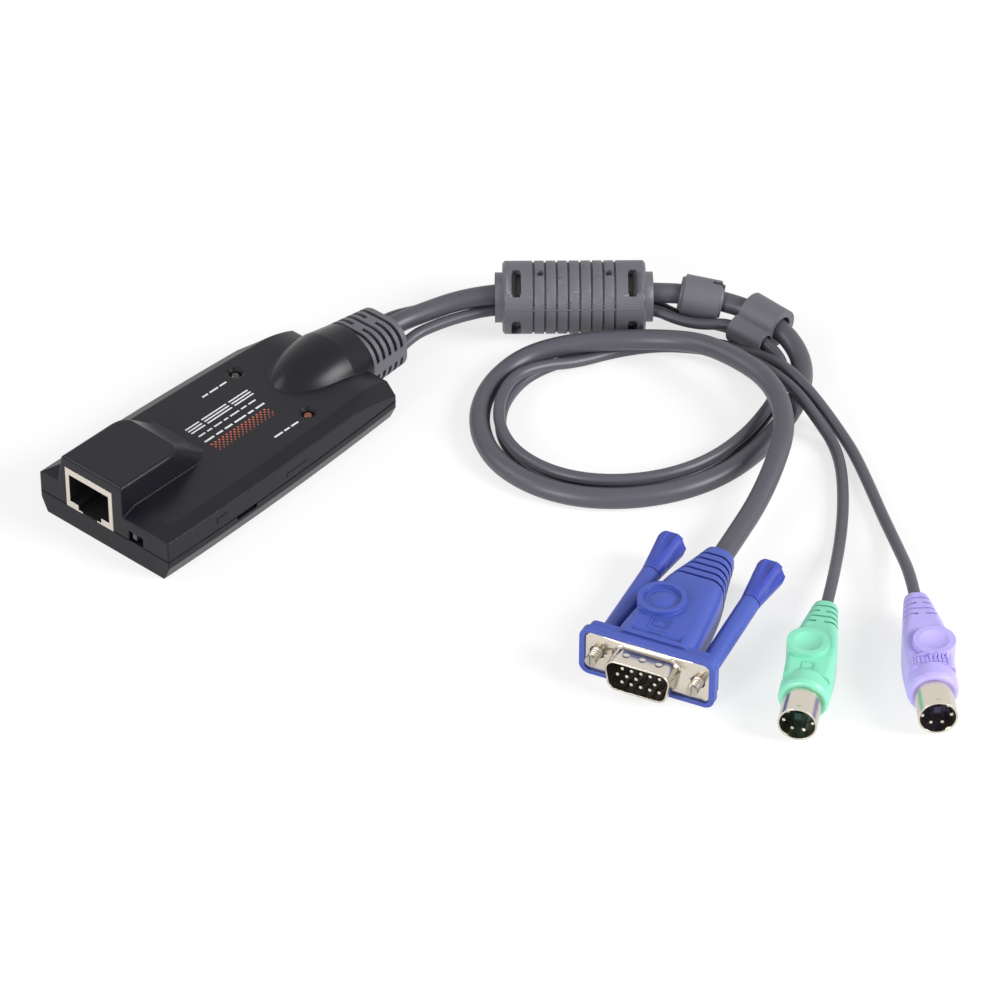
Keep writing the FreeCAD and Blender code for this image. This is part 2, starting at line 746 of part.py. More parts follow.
# ---------------------------------------------------------------- slide switch
switch_middle = -S.switch_right + S.switch_window_width / 2
switch_start = front + S.case_wall + 0.1
switch_axis = S.seam_height + S.switch_window_height / 2
lever_rest = switch_middle + S.switch_travel / 2
body_switch = new_body("switch_body")
face = new_sketch(body_switch, "SwitchFace", "YZ_Plane", switch_start)
add_outline(face, box_corners(switch_middle - S.switch_body_width / 2, switch_middle + S.switch_body_width / 2,
                              board_top, board_top + S.switch_window_height + 0.6))
pad(body_switch, "SwitchBlock", face, S.switch_body_depth)
track = new_sketch(body_switch, "SwitchTrack", "YZ_Plane", switch_start)
track_half = S.switch_travel / 2 + S.lever_width / 2 + S.moving_gap
add_outline(track, box_corners(switch_middle - track_half, switch_middle + track_half,
                               switch_axis - S.lever_height / 2 - S.moving_gap,
                               switch_axis + S.lever_height / 2 + S.moving_gap))
pocket(body_switch, "SwitchSlot", track, S.switch_body_depth - 1, along_normal=True)

lever = new_body("switch_lever")
face = new_sketch(lever, "LeverFace", "YZ_Plane", front + 0.5)
add_outline(face, box_corners(lever_rest - S.lever_width / 2, lever_rest + S.lever_width / 2,
                              switch_axis - S.lever_height / 2, switch_axis + S.lever_height / 2))
pad(lever, "LeverStem", face, S.case_wall + S.switch_body_depth - 1.8)

# ---------------------------------------------------------------- strain relief
boot = new_body("strain_relief_boot")


def boot_section(share, inset=0):
    """Width, height and middle height of the strain relief at a share of its length."""
    width = S.boot_start_width + (S.boot_end_width - S.boot_start_width) * share
    height = S.boot_start_height + (S.boot_end_height - S.boot_start_height) * share
    middle = S.cable_axis_height + (S.boot_end_axis - S.cable_axis_height) * share
    return width - 2 * inset, height - 2 * inset, middle


start_section, end_section = (new_sketch(boot, name, "YZ_Plane", neck_end + share * S.boot_length)
                              for name, share in (("BootStart", 0), ("BootEnd", 1)))
for section, share, corner in ((start_section, 0, 6.3), (end_section, 1, 5.2)):
    width, height, middle = boot_section(share)
    outline, arcs = rounded_corners(width, height, as_size(corner), as_size(0), middle)
    add_outline(section, outline, arcs)
boot_skin = boot.newObject("PartDesign::AdditiveLoft", "BootSkin")
boot_skin.Profile = start_section
boot_skin.Sections = [end_section]
for section in (start_section, end_section):
    section.Visibility = False

# Rows of slots let the strain relief bend: whole rows alternate with rows that a bridge splits in two.
WHOLE_ROW = [(12, 168)]
SPLIT_ROW = [(12, 80), (100, 168)]
for row in range(5):
    place = 1.1 + row * float(S.boot_slot_pitch)
    width, height, middle = boot_section(place / float(S.boot_length), S.boot_slot_depth)
    slots = new_sketch(boot, f"SlotRow{row}", "YZ_Plane", neck_end + place)
    core = Part.Ellipse(Vector(0, float(middle), 0), float(width) / 2, float(height) / 2)
    reach = 12.0
    for begin, end in (WHOLE_ROW, SPLIT_ROW)[row % 2]:
        for flip in (0, 180):
            low, high = math.radians(begin + flip), math.radians(end + flip)
            inner = [core.value(low), core.value(high)]
            outer = [Vector(reach * math.cos(turn), float(middle) + reach * math.sin(turn), 0)
                     for turn in (low, (low + high) / 2, high)]
            slots.addGeometry(Part.ArcOfEllipse(core, low, high), False)
            slots.addGeometry(Part.LineSegment(inner[1], outer[2]), False)
            slots.addGeometry(Part.Arc(outer[2], outer[1], outer[0]), False)
            slots.addGeometry(Part.LineSegment(outer[0], inner[0]), False)
    pocket(boot, f"Slots{row}", slots, S.boot_slot_width, along_normal=True)

plug = new_sketch(boot, "BootPlugShape", "YZ_Plane", neck_end + 0.5)
add_circle(plug, 0, S.cable_axis_height, S.neck_bore)
pad(boot, "BootPlug", plug, S.boot_plug_length + 0.5, reverse=True)
boot_end = neck_end + S.boot_length

# ---------------------------------------------------------------- ferrite round the three cables
ferrite_place = Placement(Vector(97.2, -25.93, 9.1),
                          Rotation(Vector(0, 0, 1), -48) * Rotation(Vector(1, 0, 0), -15))
core = new_body("ferrite_core", ferrite_place)
ring = new_sketch(core, "CoreRing", "YZ_Plane", -S.core_length / 2)
add_circle(ring, 0, 0, S.core_diameter)
add_circle(ring, 0, 0, S.ferrite_bore)
pad(core, "CoreTube", ring, S.core_length)

cover = new_body("ferrite_cover", ferrite_place)
profile = new_sketch(cover, "CoverProfile", "XZ_Plane")
half = S.ferrite_length / 2
shoulder = half - S.ferrite_end_length
outer = S.ferrite_diameter / 2
bore = S.ferrite_bore / 2
end_radius = S.ferrite_end_diameter / 2
corners = [(-half, bore), (-half, end_radius), (-shoulder, end_radius), (-shoulder, outer - 0.6),
           (-shoulder + 0.6, outer)]
for number in range(8):
    groove = (number - 3.5) * S.ferrite_groove_pitch
    before, after = groove - S.ferrite_groove_width / 2, groove + S.ferrite_groove_width / 2
    corners += [(before, outer), (before, outer - S.ferrite_groove_depth),
                (after, outer - S.ferrite_groove_depth), (after, outer)]
room_end = S.core_length / 2 + S.fit_clearance
room_radius = S.core_diameter / 2 + S.fit_clearance
corners += [(shoulder - 0.6, outer), (shoulder, outer - 0.6), (shoulder, end_radius), (half, end_radius),
            (half, bore), (room_end, bore), (room_end, room_radius), (-room_end, room_radius), (-room_end, bore)]
add_outline(profile, corners)
turned(cover, "CoverSkin", profile, "H_Axis")


def turned_sketch(body, name, angle, lift=0):
    """A sketch on a plane through the body's X axis, turned about that axis, then lifted along its normal."""
    sketch = body.newObject("Sketcher::SketchObject", name)
    sketch.AttachmentSupport = [(origin_feature(body, "XY_Plane"), "")]
    sketch.MapMode = "FlatFace"
    turn = Rotation(Vector(1, 0, 0), angle)
    sketch.AttachmentOffset = Placement(turn.multVec(Vector(0, 0, float(lift))), turn)
    return sketch


# Four short slots round each end and a pin hole beside them, where the mould held the core.
for number in range(4):
    slots = turned_sketch(cover, f"EndSlot{number}", 45 + 90 * number)
    for side in (-1, 1):
        place = side * S.ferrite_slot_place
        add_outline(slots, box_corners(place - S.ferrite_slot_width / 2, place + S.ferrite_slot_width / 2,
                                       outer - S.ferrite_slot_depth, outer + 1))
    groove = turned(cover, f"EndSlots{number}", slots, "H_Axis", "Groove", 48)
    groove.Midplane = True
for name, angle in (("PinHoles", 28), ("PinHolesBelow", 208)):
    holes = turned_sketch(cover, name, angle, S.ferrite_diameter / 2 - 1.3)
    for side in (-1, 1):
        add_circle(holes, side * S.ferrite_hole_place, 0, S.ferrite_hole)
    pocket(cover, f"{name}Cut", holes, 2, along_normal=True)

# ---------------------------------------------------------------- collars on the cables
small_collar = new_body("small_collar", Placement(Vector(118.19, -49.64, 9.03),
                                                  Rotation(Vector(1, 0, 0), Vector(6.2, -9.2, -1.7))))
profile = new_sketch(small_collar, "CollarProfile", "XZ_Plane")
half = S.small_collar_length / 2
outer = S.small_collar_diameter / 2
bore = S.video_cable_diameter / 2 + S.collar_bore_gap
add_outline(profile, [(-half, bore), (-half, outer - 0.9), (-half + 0.9, outer), (half - 0.9, outer),
                      (half, outer - 0.9), (half, bore)], {1: as_size(0.9), 3: as_size(0.9)})
turned(small_collar, "Collar", profile, "H_Axis")
slit = new_sketch(small_collar, "SlitPlan", "XY_Plane")
add_outline(slit, box_corners(half - 3.2, half + 1, as_size(-0.6), as_size(0.6)))
pocket(small_collar, "Slit", slit, outer + 1, along_normal=True)

# The double collar holds the video cable in its big lobe and the two thin cables in its small lobe.
lobe_axis = Vector(-0.02, -0.99, -0.06).normalize()
lobe_side = Vector(-5.1, 0.2, -2.4)
lobe_side = (lobe_side - lobe_axis * lobe_side.dot(lobe_axis)).normalize()
lobes_turn = Rotation(lobe_side, lobe_axis.cross(lobe_side), lobe_axis, "ZXY")
lobes_place = Placement(Vector(124.1, -65.6, 6.65) - lobe_axis * float(S.double_collar_length) / 2, lobes_turn)


def collar_cylinder(name, across, side, radius, spare=0):
    """A cylinder along the double collar's axis, at a place in its cross-section."""
    place = Vector(float(across), float(side), -spare)
    return primitive("Cylinder", name, lobes_place * Placement(place, Rotation()),
                     Radius=radius, Height=S.double_collar_length + 2 * spare)


lobes = doc.addObject("Part::MultiFuse", "Lobes")
lobes.Shapes = [collar_cylinder("BigLobe", 0, 0, S.big_lobe_diameter / 2),
                collar_cylinder("SmallLobe", S.lobe_spacing, 0, S.small_lobe_diameter / 2)]
thin_spread = 1.45
thin_side = lobes_turn.inverted().multVec(Vector(-0.7, 0, 1.2)).normalize() * thin_spread
bores = doc.addObject("Part::MultiFuse", "LobeBores")
bores.Shapes = [collar_cylinder("BigBore", 0, 0, S.video_cable_diameter / 2 + S.collar_bore_gap, 1)]
for name, side in (("UpperBore", 1), ("LowerBore", -1)):
    bores.Shapes += [collar_cylinder(name, float(S.lobe_spacing) + side * thin_side.x, side * thin_side.y,
                                     S.thin_cable_diameter / 2 + S.thin_bore_gap, 1)]
double_collar = doc.addObject("Part::Cut", "double_collar")
double_collar.Label = "double_collar"
double_collar.Base = lobes
double_collar.Tool = bores
nodes.append(double_collar)

# ---------------------------------------------------------------- video plug
video_place = Placement(Vector(2.02, -129.47, 0), Rotation(Vector(0, 0, 1), 196.7))
plug_axis = S.frame_height / 2
flange_front = as_size(0)
flange_back = -S.flange_sheet
frame_back = S.frame_lip - S.frame_depth
step_back = frame_back - S.frame_step_depth


def plate_outline(sketch, width, height, radius, middle=plug_axis):
    """Rectangle with round corners round a plug's axis."""
    outline, arcs = rounded_corners(width, height, radius, as_size(0), middle)
    return add_outline(sketch, outline, arcs)


def upright_sketch(body, name, x, y):
    """A sketch on an upright plane whose vertical axis stands at a place in the body's plan."""
    sketch = new_sketch(body, name, "XZ_Plane", -y)
    sketch.AttachmentOffset = Placement(Vector(x, 0, -y), Rotation())
    return sketch


def cap_radius(reach, rise):
    """Radius of the sphere whose cap has this reach from its middle and this rise."""
    return (reach * reach + rise * rise) / (2 * rise)


def d_outline(sketch, grow, radius):
    """The video plug's D shape, wide side up, grown outward by an amount."""
    lean = math.radians(10)
    half_height = S.shell_height / 2 + grow
    half_middle = S.shell_width / 2 - S.shell_height / 2 * math.tan(lean) + grow / math.cos(lean)
    half_top = half_middle + half_height * math.tan(lean)
    half_bottom = half_middle - half_height * math.tan(lean)
    top, bottom = plug_axis + half_height, plug_axis - half_height
    near_top = radius / math.tan(math.radians(40))
    near_bottom = radius / math.tan(math.radians(50))
    right = [(half_bottom - near_bottom, bottom),
             (half_bottom + near_bottom * math.sin(lean), bottom + near_bottom * math.cos(lean)),
             (half_top - near_top * math.sin(lean), top - near_top * math.cos(lean)),
             (half_top - near_top, top)]
    left = [(-x, y) for x, y in reversed(right)]
    return add_outline(sketch, right + left, {0: radius, 2: radius, 4: radius, 6: radius})


hood = new_body("video_plug_hood", video_place)
HOOD_SECTIONS = [
    # distance behind the flange, half width, half height, corner radius
    (3.0, 9.3, 6.2, 2.6),
    (12.7, 8.8, 6.3, 2.9),
    (20.0, 8.1, 6.2, 3.2),
    (28.0, 7.0, 5.8, 3.4),
    (33.0, 5.8, 5.2, 3.4),
    (38.6, 4.6, 4.4, 3.3),
    (42.5, 3.8, 3.8, 3.1),
]


def plug_skin(body, name, stations, middle):
    """A loft through rounded sections: distance behind the mating face, half width, half height, corner."""
    sections = []
    for number, (behind, half_width, half_height, corner) in enumerate(stations):
        section = new_sketch(body, f"{name}Section{number}", "YZ_Plane", -behind)
        plate_outline(section, as_size(2 * half_width), as_size(2 * half_height), as_size(corner), middle)
        section.Visibility = False
        sections.append(section)
    loft = body.newObject("PartDesign::AdditiveLoft", f"{name}Skin")
    loft.Profile = sections[0]
    loft.Sections = sections[1:]
    return loft


plug_skin(hood, "Hood", HOOD_SECTIONS, plug_axis)


def hood_size_at(behind):
    """Half width, half height and corner radius of the hood at a distance behind the flange."""
    for near, far in zip(HOOD_SECTIONS, HOOD_SECTIONS[1:]):
        if near[0] <= behind <= far[0]:
            share = (behind - near[0]) / (far[0] - near[0])
            return [a + (b - a) * share for a, b in zip(near[1:], far[1:])]


for number in range(5):
    behind = 28.8 + number * float(S.hood_groove_pitch)
    half_width, half_height, corner = (size - 0.75 for size in hood_size_at(behind))
    ring = new_sketch(hood, f"HoodGroove{number}", "YZ_Plane", -(behind + S.hood_groove_width / 2))
    add_circle(ring, 0, plug_axis, S.frame_height + 8)
    plate_outline(ring, as_size(2 * half_width), as_size(2 * half_height), as_size(corner))
    pocket(hood, f"HoodGrooveCut{number}", ring, S.hood_groove_width, along_normal=True)

frame = new_sketch(hood, "FrameShape", "YZ_Plane", frame_back)
plate_outline(frame, S.frame_width, S.frame_height, as_size(2.5))
pad(hood, "Frame", frame, S.frame_depth)
step = new_sketch(hood, "FrameStepShape", "YZ_Plane", step_back)
plate_outline(step, S.frame_width - 2 * S.frame_step, S.frame_height - 2 * S.frame_step, as_size(1.9))
pad(hood, "FrameStep", step, S.frame_step_depth + 0.5)
sleeves = new_sketch(hood, "SleeveShape", "YZ_Plane", -S.sleeve_length)
for side in (-1, 1):
    add_circle(sleeves, side * S.screw_spacing / 2, plug_axis, S.sleeve_diameter)
pad(hood, "Sleeves", sleeves, S.sleeve_length + step_back + 0.5)

disc_x, disc_y = -16.3, -3.4
disc = new_sketch(hood, "ThumbDiscPlan", "XY_Plane", plug_axis)
add_circle(disc, disc_x, disc_y, S.disc_diameter)
pad(hood, "ThumbDisc", disc, plug_axis + S.thumb_disc_top - S.frame_height)
ring = upright_sketch(hood, "ThumbRingProfile", disc_x, disc_y)
ring_floor = S.thumb_disc_top - S.thumb_ring_depth
dome_top = S.thumb_disc_top - S.thumb_dome_drop
add_outline(ring, [(S.thumb_ring_inner, ring_floor), (S.thumb_ring_outer, ring_floor),
                   (S.thumb_ring_outer, S.thumb_disc_top + 1), (as_size(0), S.thumb_disc_top + 1),
                   (as_size(0), dome_top)],
            {4: -cap_radius(S.thumb_ring_inner, dome_top - ring_floor)})
turned(hood, "ThumbRing", ring, "V_Axis", "Groove")

scoop = new_sketch(hood, "ScoopProfile", "XZ_Plane")
add_outline(scoop, [(step_back - 2.6, plug_axis + 6.3), (step_back - 0.05, plug_axis + 5.2),
                    (step_back - 0.05, plug_axis + 8), (step_back - 2.6, plug_axis + 8)])
pocket(hood, "Scoop", scoop, as_size(12.4), both_ways=True)

seat = new_sketch(hood, "FlangeSeatShape", "YZ_Plane", S.frame_lip)
plate_outline(seat, S.flange_width + 2 * S.fit_clearance, S.flange_height + 2 * S.fit_clearance, as_size(1.6))
pocket(hood, "FlangeSeat", seat, S.frame_lip - flange_back)
nest = new_sketch(hood, "InsulatorNestShape", "YZ_Plane", flange_back)
d_outline(nest, -S.shell_sheet, as_size(2.2))
pocket(hood, "InsulatorNest", nest, S.insulator_back + flange_back)
bores = new_sketch(hood, "ScrewBoreShape", "YZ_Plane", S.frame_lip)
for side in (-1, 1):
    add_circle(bores, side * S.screw_spacing / 2, plug_axis, S.screw_diameter + 2 * S.fit_clearance)
pocket(hood, "ScrewBores", bores)

shell = new_body("video_plug_shell", video_place)
flange = new_sketch(shell, "FlangeShape", "YZ_Plane", flange_back)
plate_outline(flange, S.flange_width, S.flange_height, as_size(1.5))
for side in (-1, 1):
    add_circle(flange, side * S.screw_spacing / 2, plug_axis, S.screw_hole)
pad(shell, "Flange", flange, S.flange_sheet)
root = new_sketch(shell, "ShellRootShape", "YZ_Plane", flange_front)
d_outline(root, as_size(0.5), as_size(3.0))
pad(shell, "ShellRoot", root, as_size(0.6))
wall = new_sketch(shell, "ShellShape", "YZ_Plane", flange_front)
d_outline(wall, as_size(0), as_size(2.6))
pad(shell, "ShellWall", wall, S.shell_reach)
mouth = new_sketch(shell, "ShellMouthShape", "YZ_Plane", S.shell_reach)
d_outline(mouth, -S.shell_sheet, as_size(2.2))
pocket(shell, "ShellMouth", mouth)

pin_places = []
for row, (shift, missing) in enumerate([(0.57, None), (-0.57, 3), (0.57, None)]):
    for column in range(5):
        if column != missing:
            pin_places.append(((column - 2) * S.pin_pitch + shift, plug_axis + (1 - row) * S.pin_row_pitch))

insulator = new_body("video_plug_insulator", video_place)
block = new_sketch(insulator, "InsulatorShape", "YZ_Plane", -S.insulator_back)
d_outline(block, -S.shell_sheet - S.fit_clearance, as_size(2.1))
for across, height in pin_places:
    add_circle(block, across, height, S.pin_diameter + 2 * S.fit_clearance)
pad(insulator, "InsulatorBlock", block, S.insulator_back + 0.4)

pins = []
for number, (across, height) in enumerate(pin_places):
    pins.append(primitive(
        "Cylinder", f"video_pin_{number}",
        video_place * along_x(-S.insulator_back + 0.5, across, height),
        Radius=S.pin_diameter / 2, Height=S.insulator_back - 0.5 + S.pin_reach))
group("video_plug_pins", pins)

knob_front = -(S.sleeve_length + S.moving_gap)
knob_back = knob_front - S.knob_length
for label, side in (("left", 1), ("right", -1)):
    place = video_place * Placement(Vector(0, side * float(S.screw_spacing) / 2, float(plug_axis)), Rotation())
    knob = new_body(f"thumbscrew_{label}", place)
    profile = new_sketch(knob, "KnobProfile", "XZ_Plane")
    nose, tail = S.knob_front_diameter / 2, S.knob_rear_diameter / 2
    bore_end = knob_front - S.screw_grip - S.fit_clearance
    add_outline(profile, [
        (knob_front, S.screw_diameter / 2 + S.fit_clearance), (bore_end, S.screw_diameter / 2 + S.fit_clearance),
        (bore_end, as_size(0)), (knob_back + 1.6, as_size(0)), (knob_back + 0.6, tail - 2), (knob_back, tail - 1.2),
        (knob_back + 0.9, tail - 0.15), (knob_back + 2.2, tail), (knob_front - 1.6, nose + 0.15),
        (knob_front, nose)])
    turned(knob, "Knob", profile, "H_Axis")
    flute = new_sketch(knob, "FluteShape", "YZ_Plane", knob_back - 0.5)
    for number in range(5):
        turn = math.radians(90 + 72 * number)
        add_circle(flute, (tail + 0.35) * math.cos(turn), (tail + 0.35) * math.sin(turn), S.flute_diameter)
    pocket(knob, "Flutes", flute, S.knob_length - 2.0, along_normal=True)

    screw = new_body(f"jackscrew_{label}", place)
    profile = new_sketch(screw, "ScrewProfile", "XZ_Plane")
    add_outline(profile, [
        (knob_front - S.screw_grip, as_size(0)), (knob_front - S.screw_grip, S.screw_diameter / 2),
        (flange_back - 0.5, S.screw_diameter / 2), (flange_back - 0.5, S.thread_diameter / 2),
        (S.screw_reach - 0.6, S.thread_diameter / 2), (S.screw_reach, S.thread_diameter / 2 - 0.6),
        (S.screw_reach, as_size(0))])
    turned(screw, "Screw", profile, "H_Axis")

# ---------------------------------------------------------------- mouse and keyboard plugs
def round_slot(body, name, place, width, inner, spans):
    """Slots of part of a turn round a round body's own axis, from a radius outward."""
    rings = new_sketch(body, name, "YZ_Plane", place)
    middle = float(S.plug_axis_height)
    for begin, end in spans:
        low, high = math.radians(begin), math.radians(end)
        mid = (low + high) / 2
        ring_points = [[Vector(reach * math.cos(turn), middle + reach * math.sin(turn), 0)
                        for turn in (low, mid, high)] for reach in (inner, inner + 3)]
        rings.addGeometry(Part.Arc(*ring_points[0]), False)
        rings.addGeometry(Part.LineSegment(ring_points[0][2], ring_points[1][2]), False)
        rings.addGeometry(Part.Arc(*reversed(ring_points[1])), False)
        rings.addGeometry(Part.LineSegment(ring_points[1][0], ring_points[0][0]), False)
    pocket(body, f"{name}Cut", rings, as_size(width), along_normal=True)


PLUG_SECTIONS = [
    # distance behind the mating face, half width, half height, corner radius
    (12.0, 5.35, 5.0, 1.6),
    (17.0, 5.5, 5.15, 1.3),
    (23.0, 5.4, 5.1, 1.4),
    (28.5, 4.8, 4.7, 1.9),
    (34.0, 4.0, 4.0, 2.3),
    (41.2, 2.9, 2.9, 2.4),
]


def round_plug(name, place, disc_x, disc_y):
    """A six-pin round plug: moulded body, metal sleeve, insulator with its key, and pins."""
    axis = S.plug_axis_height
    seat = S.plug_shell_diameter / 2 - S.plug_shell_step
    seat_back = -(S.plug_shell_reach + S.plug_shell_seat)
    body = new_body(f"{name}_plug_body", place)
    profile = new_sketch(body, "BodyProfile", "XZ_Plane")
    profile.AttachmentOffset = Placement(Vector(0, float(axis), 0), Rotation())
    bind(profile, "AttachmentOffset.Base.y", axis)
    face = -S.plug_shell_reach
    collar = S.plug_collar_radius
    add_outline(profile, [
        (face - S.plug_collar_length, as_size(0)), (face - S.plug_collar_length, collar - 0.6),
        (face - S.plug_collar_length + 0.6, collar), (face - 1.2, collar), (face - 0.3, collar - 0.35),
        (face, collar - 0.8), (face, seat + S.fit_clearance),
        (seat_back, seat + S.fit_clearance), (seat_back, as_size(0))])
    turned(body, "Collar", profile, "H_Axis")
    plug_skin(body, "Body", PLUG_SECTIONS, axis)
    disc = new_sketch(body, "ThumbDiscPlan", "XY_Plane", axis)
    add_circle(disc, disc_x, disc_y, S.thumb_disc_diameter)
    pad(body, "ThumbDisc", disc, S.plug_disc_top - axis)
    dish = upright_sketch(body, "ThumbDishProfile", disc_x, disc_y)
    add_outline(dish, [(as_size(0), S.plug_disc_top - S.thumb_dish_depth), (S.thumb_dish_radius, S.plug_disc_top),
                       (S.thumb_dish_radius, S.plug_disc_top + 1), (as_size(0), S.plug_disc_top + 1)],
                {0: cap_radius(S.thumb_dish_radius, S.thumb_dish_depth)})
    turned(body, "ThumbDish", dish, "V_Axis", "Groove")
    for number, (place_x, radius, spans) in enumerate([
            (-39.3, 2.6, [(15, 165), (195, 345)]), (-37.0, 3.0, [(15, 78), (102, 165), (195, 258), (282, 345)]),
            (-34.7, 3.35, [(15, 165), (195, 345)]), (-32.4, 3.7, [(15, 78), (102, 165), (195, 258), (282, 345)])]):
        round_slot(body, f"TailSlot{number}", place_x, 0.75, radius, spans)

    shell = new_body(f"{name}_plug_shell", place)
    sleeve_back = face + S.plug_shell_gap
    for part, back, end, radius in (("Sleeve", sleeve_back, as_size(0), S.plug_shell_diameter / 2),
                                    ("SleeveSeat", seat_back + S.fit_clearance, sleeve_back, seat)):
        tube = new_sketch(shell, f"{part}Shape", "YZ_Plane", back)
        add_circle(tube, 0, axis, 2 * radius)
        add_circle(tube, 0, axis, S.plug_shell_diameter - 2 * S.plug_shell_sheet)
        pad(shell, part, tube, end - back)

    insulator = new_body(f"{name}_plug_insulator", place)
    ring = new_sketch(insulator, "InsulatorShape", "YZ_Plane", seat_back + S.fit_clearance)
    add_circle(ring, 0, axis, S.plug_shell_diameter - 2 * S.plug_shell_sheet - 2 * S.fit_clearance)
    pin_spots = [(side * across, axis + height) for side in (-1, 1)
                 for across, height in ((1.3, -2.5), (3.3, -0.4), (2.45, 2.3))]
    for across, height in pin_spots:
        add_circle(ring, across, height, S.round_pin_diameter + 2 * S.fit_clearance)
    pad(insulator, "InsulatorDisc", ring, S.plug_shell_seat + 2.5)
    key = new_sketch(insulator, "KeyShape", "YZ_Plane", -S.plug_shell_reach + 1)
    add_outline(key, box_corners(as_size(-0.8), as_size(0.8), axis + 0.5, axis + 2.3))
    pad(insulator, "Key", key, S.plug_shell_reach - 2.2)

    group(f"{name}_plug_pins", [
        primitive("Cylinder", f"{name}_pin_{number}", place * along_x(seat_back + 0.4, across, height),
                  Radius=S.round_pin_diameter / 2, Height=-seat_back - 0.4 - 1.5)
        for number, (across, height) in enumerate(pin_spots)])


def round_plug_place(x, y, turn):
    """Placement of a round plug by its rim and the direction that it points in."""
    return Placement(Vector(x, y, 0), Rotation(Vector(0, 0, 1), turn))


round_plug("mouse", round_plug_place(9.5, -167.1, 209.55), -22.0, -1.2)
round_plug("keyboard", round_plug_place(32.2, -189.4, 224.38), -20.0, 1.3)

# ---------------------------------------------------------------- cables
def cord(label, diameter, points):
    """A cable: a round tube of straight runs and the arcs that touch them."""
    corners = [Vector(*point) for point in points]
    radius = float(diameter) / 2
    edges = []
    bends = []
    start = corners[0]
    for before, corner, after in zip(corners, corners[1:], corners[2:]):
        back, ahead = before - corner, after - corner
        reach = 0.45 * min(back.Length, ahead.Length)
        half_turn = (math.pi - back.getAngle(ahead)) / 2
        bend = reach / math.tan(half_turn)
        back.normalize()
        ahead.normalize()
        inward = (back + ahead).normalize()
        arrive, leave = corner + back * reach, corner + ahead * reach
        crown = corner + inward * (bend / math.cos(half_turn) - bend)
        edges.append(Part.LineSegment(start, arrive).toShape())
        edges.append(Part.Arc(arrive, crown, leave).toShape())
        bends.append(bend)
        start = leave
    edges.append(Part.LineSegment(start, corners[-1]).toShape())
    route = Part.Wire(edges)
    ring = Part.Wire(Part.Circle(corners[0], corners[1] - corners[0], radius).toShape())
    tube = doc.addObject("Part::Feature", label)
    tube.Label = label
    tube.Shape = route.makePipeShell([ring], True, False)
    tube.Placement = Placement()
    nodes.append(tube)
    share = tube.Shape.Volume / (math.pi * radius ** 2 * route.Length)
    print(f"{label}: length {route.Length:.1f} mm, volume over section times length {share:.4f}")
    print("  arc radii " + " ".join(f"{bend:.0f}" for bend in bends))
    return route


video_route = cord("video_cable", S.video_cable_diameter, [
    (55.35, 0.8, 8.4), (61.5, 0.7, 8.4), (69.0, -2.2, 9.3), (76.0, -5.9, 10.3), (83.2, -11.9, 10.9),
    (92.5, -20.8, 10.9), (101.8, -31.2, 10.8), (110.2, -41.2, 10.7), (116.1, -46.7, 9.8),
    (121.6, -54.6, 8.2), (124.3, -61.8, 7.1), (124.0, -70.5, 6.2), (121.8, -77.8, 4.4), (117.0, -83.6, 2.8),
    (108.5, -88.8, 2.6), (97.5, -92.4, 2.6), (85.5, -94.6, 2.6), (72.5, -94.4, 2.6), (60.5, -90.4, 2.6),
    (50.2, -83.2, 2.6), (42.6, -73.4, 2.6), (39.2, -61.8, 2.6), (40.4, -50.0, 2.6), (46.2, -39.6, 2.6),
    (55.4, -31.8, 2.6), (66.8, -27.6, 2.6), (78.2, -27.6, 2.6), (88.4, -32.7, 2.6), (97.1, -40.3, 2.7),
    (103.2, -48.8, 3.7), (105.4, -60.0, 7.0), (103.2, -72.6, 10.2), (101.4, -83.6, 10.8), (96.0, -93.2, 10.6),
    (87.8, -100.6, 9.8), (77.5, -105.6, 7.8), (66.0, -109.9, 5.9), (52.3, -114.44, 6.5), (42.75, -117.3, 6.5)])
mouse_route = cord("mouse_cable", S.thin_cable_diameter, [
    (55.35, -5.0, 5.6), (61.2, -5.2, 5.6), (68.0, -7.3, 6.5), (74.5, -8.9, 7.0), (82.6, -12.6, 6.9),
    (91.5, -22.2, 6.75), (100.8, -32.3, 6.65), (109.1, -41.7, 6.6), (111.2, -47.4, 4.4),
    (113.9, -53.2, 3.4), (118.4, -59.5, 5.65), (118.2, -70.6, 5.1), (116.3, -76.6, 4.7), (112.6, -80.5, 4.6),
    (106.5, -84.5, 4.6), (96.3, -87.8, 4.6), (85.1, -89.9, 4.6), (73.3, -89.7, 4.6), (62.6, -86.2, 4.6),
    (53.5, -79.8, 4.6), (46.9, -71.2, 4.6), (44.0, -61.4, 4.6), (45.0, -51.4, 4.6), (49.9, -42.6, 4.6),
    (57.8, -35.9, 4.6), (67.7, -32.3, 4.6), (77.2, -32.6, 4.6), (84.6, -39.4, 3.4), (90.4, -46.8, 1.45),
    (96.0, -54.0, 1.45), (100.6, -62.4, 1.45), (104.6, -72.0, 2.6), (106.3, -79.6, 6.8), (105.3, -86.3, 8.7),
    (103.3, -93.3, 8.3), (102.2, -99.5, 5.0), (101.0, -105.6, 1.6), (94.3, -113.4, 1.45),
    (83.2, -122.6, 1.45), (72.6, -130.0, 1.45), (62.6, -136.4, 3.4), (53.17, -142.35, 5.95),
    (45.34, -146.78, 5.95)])
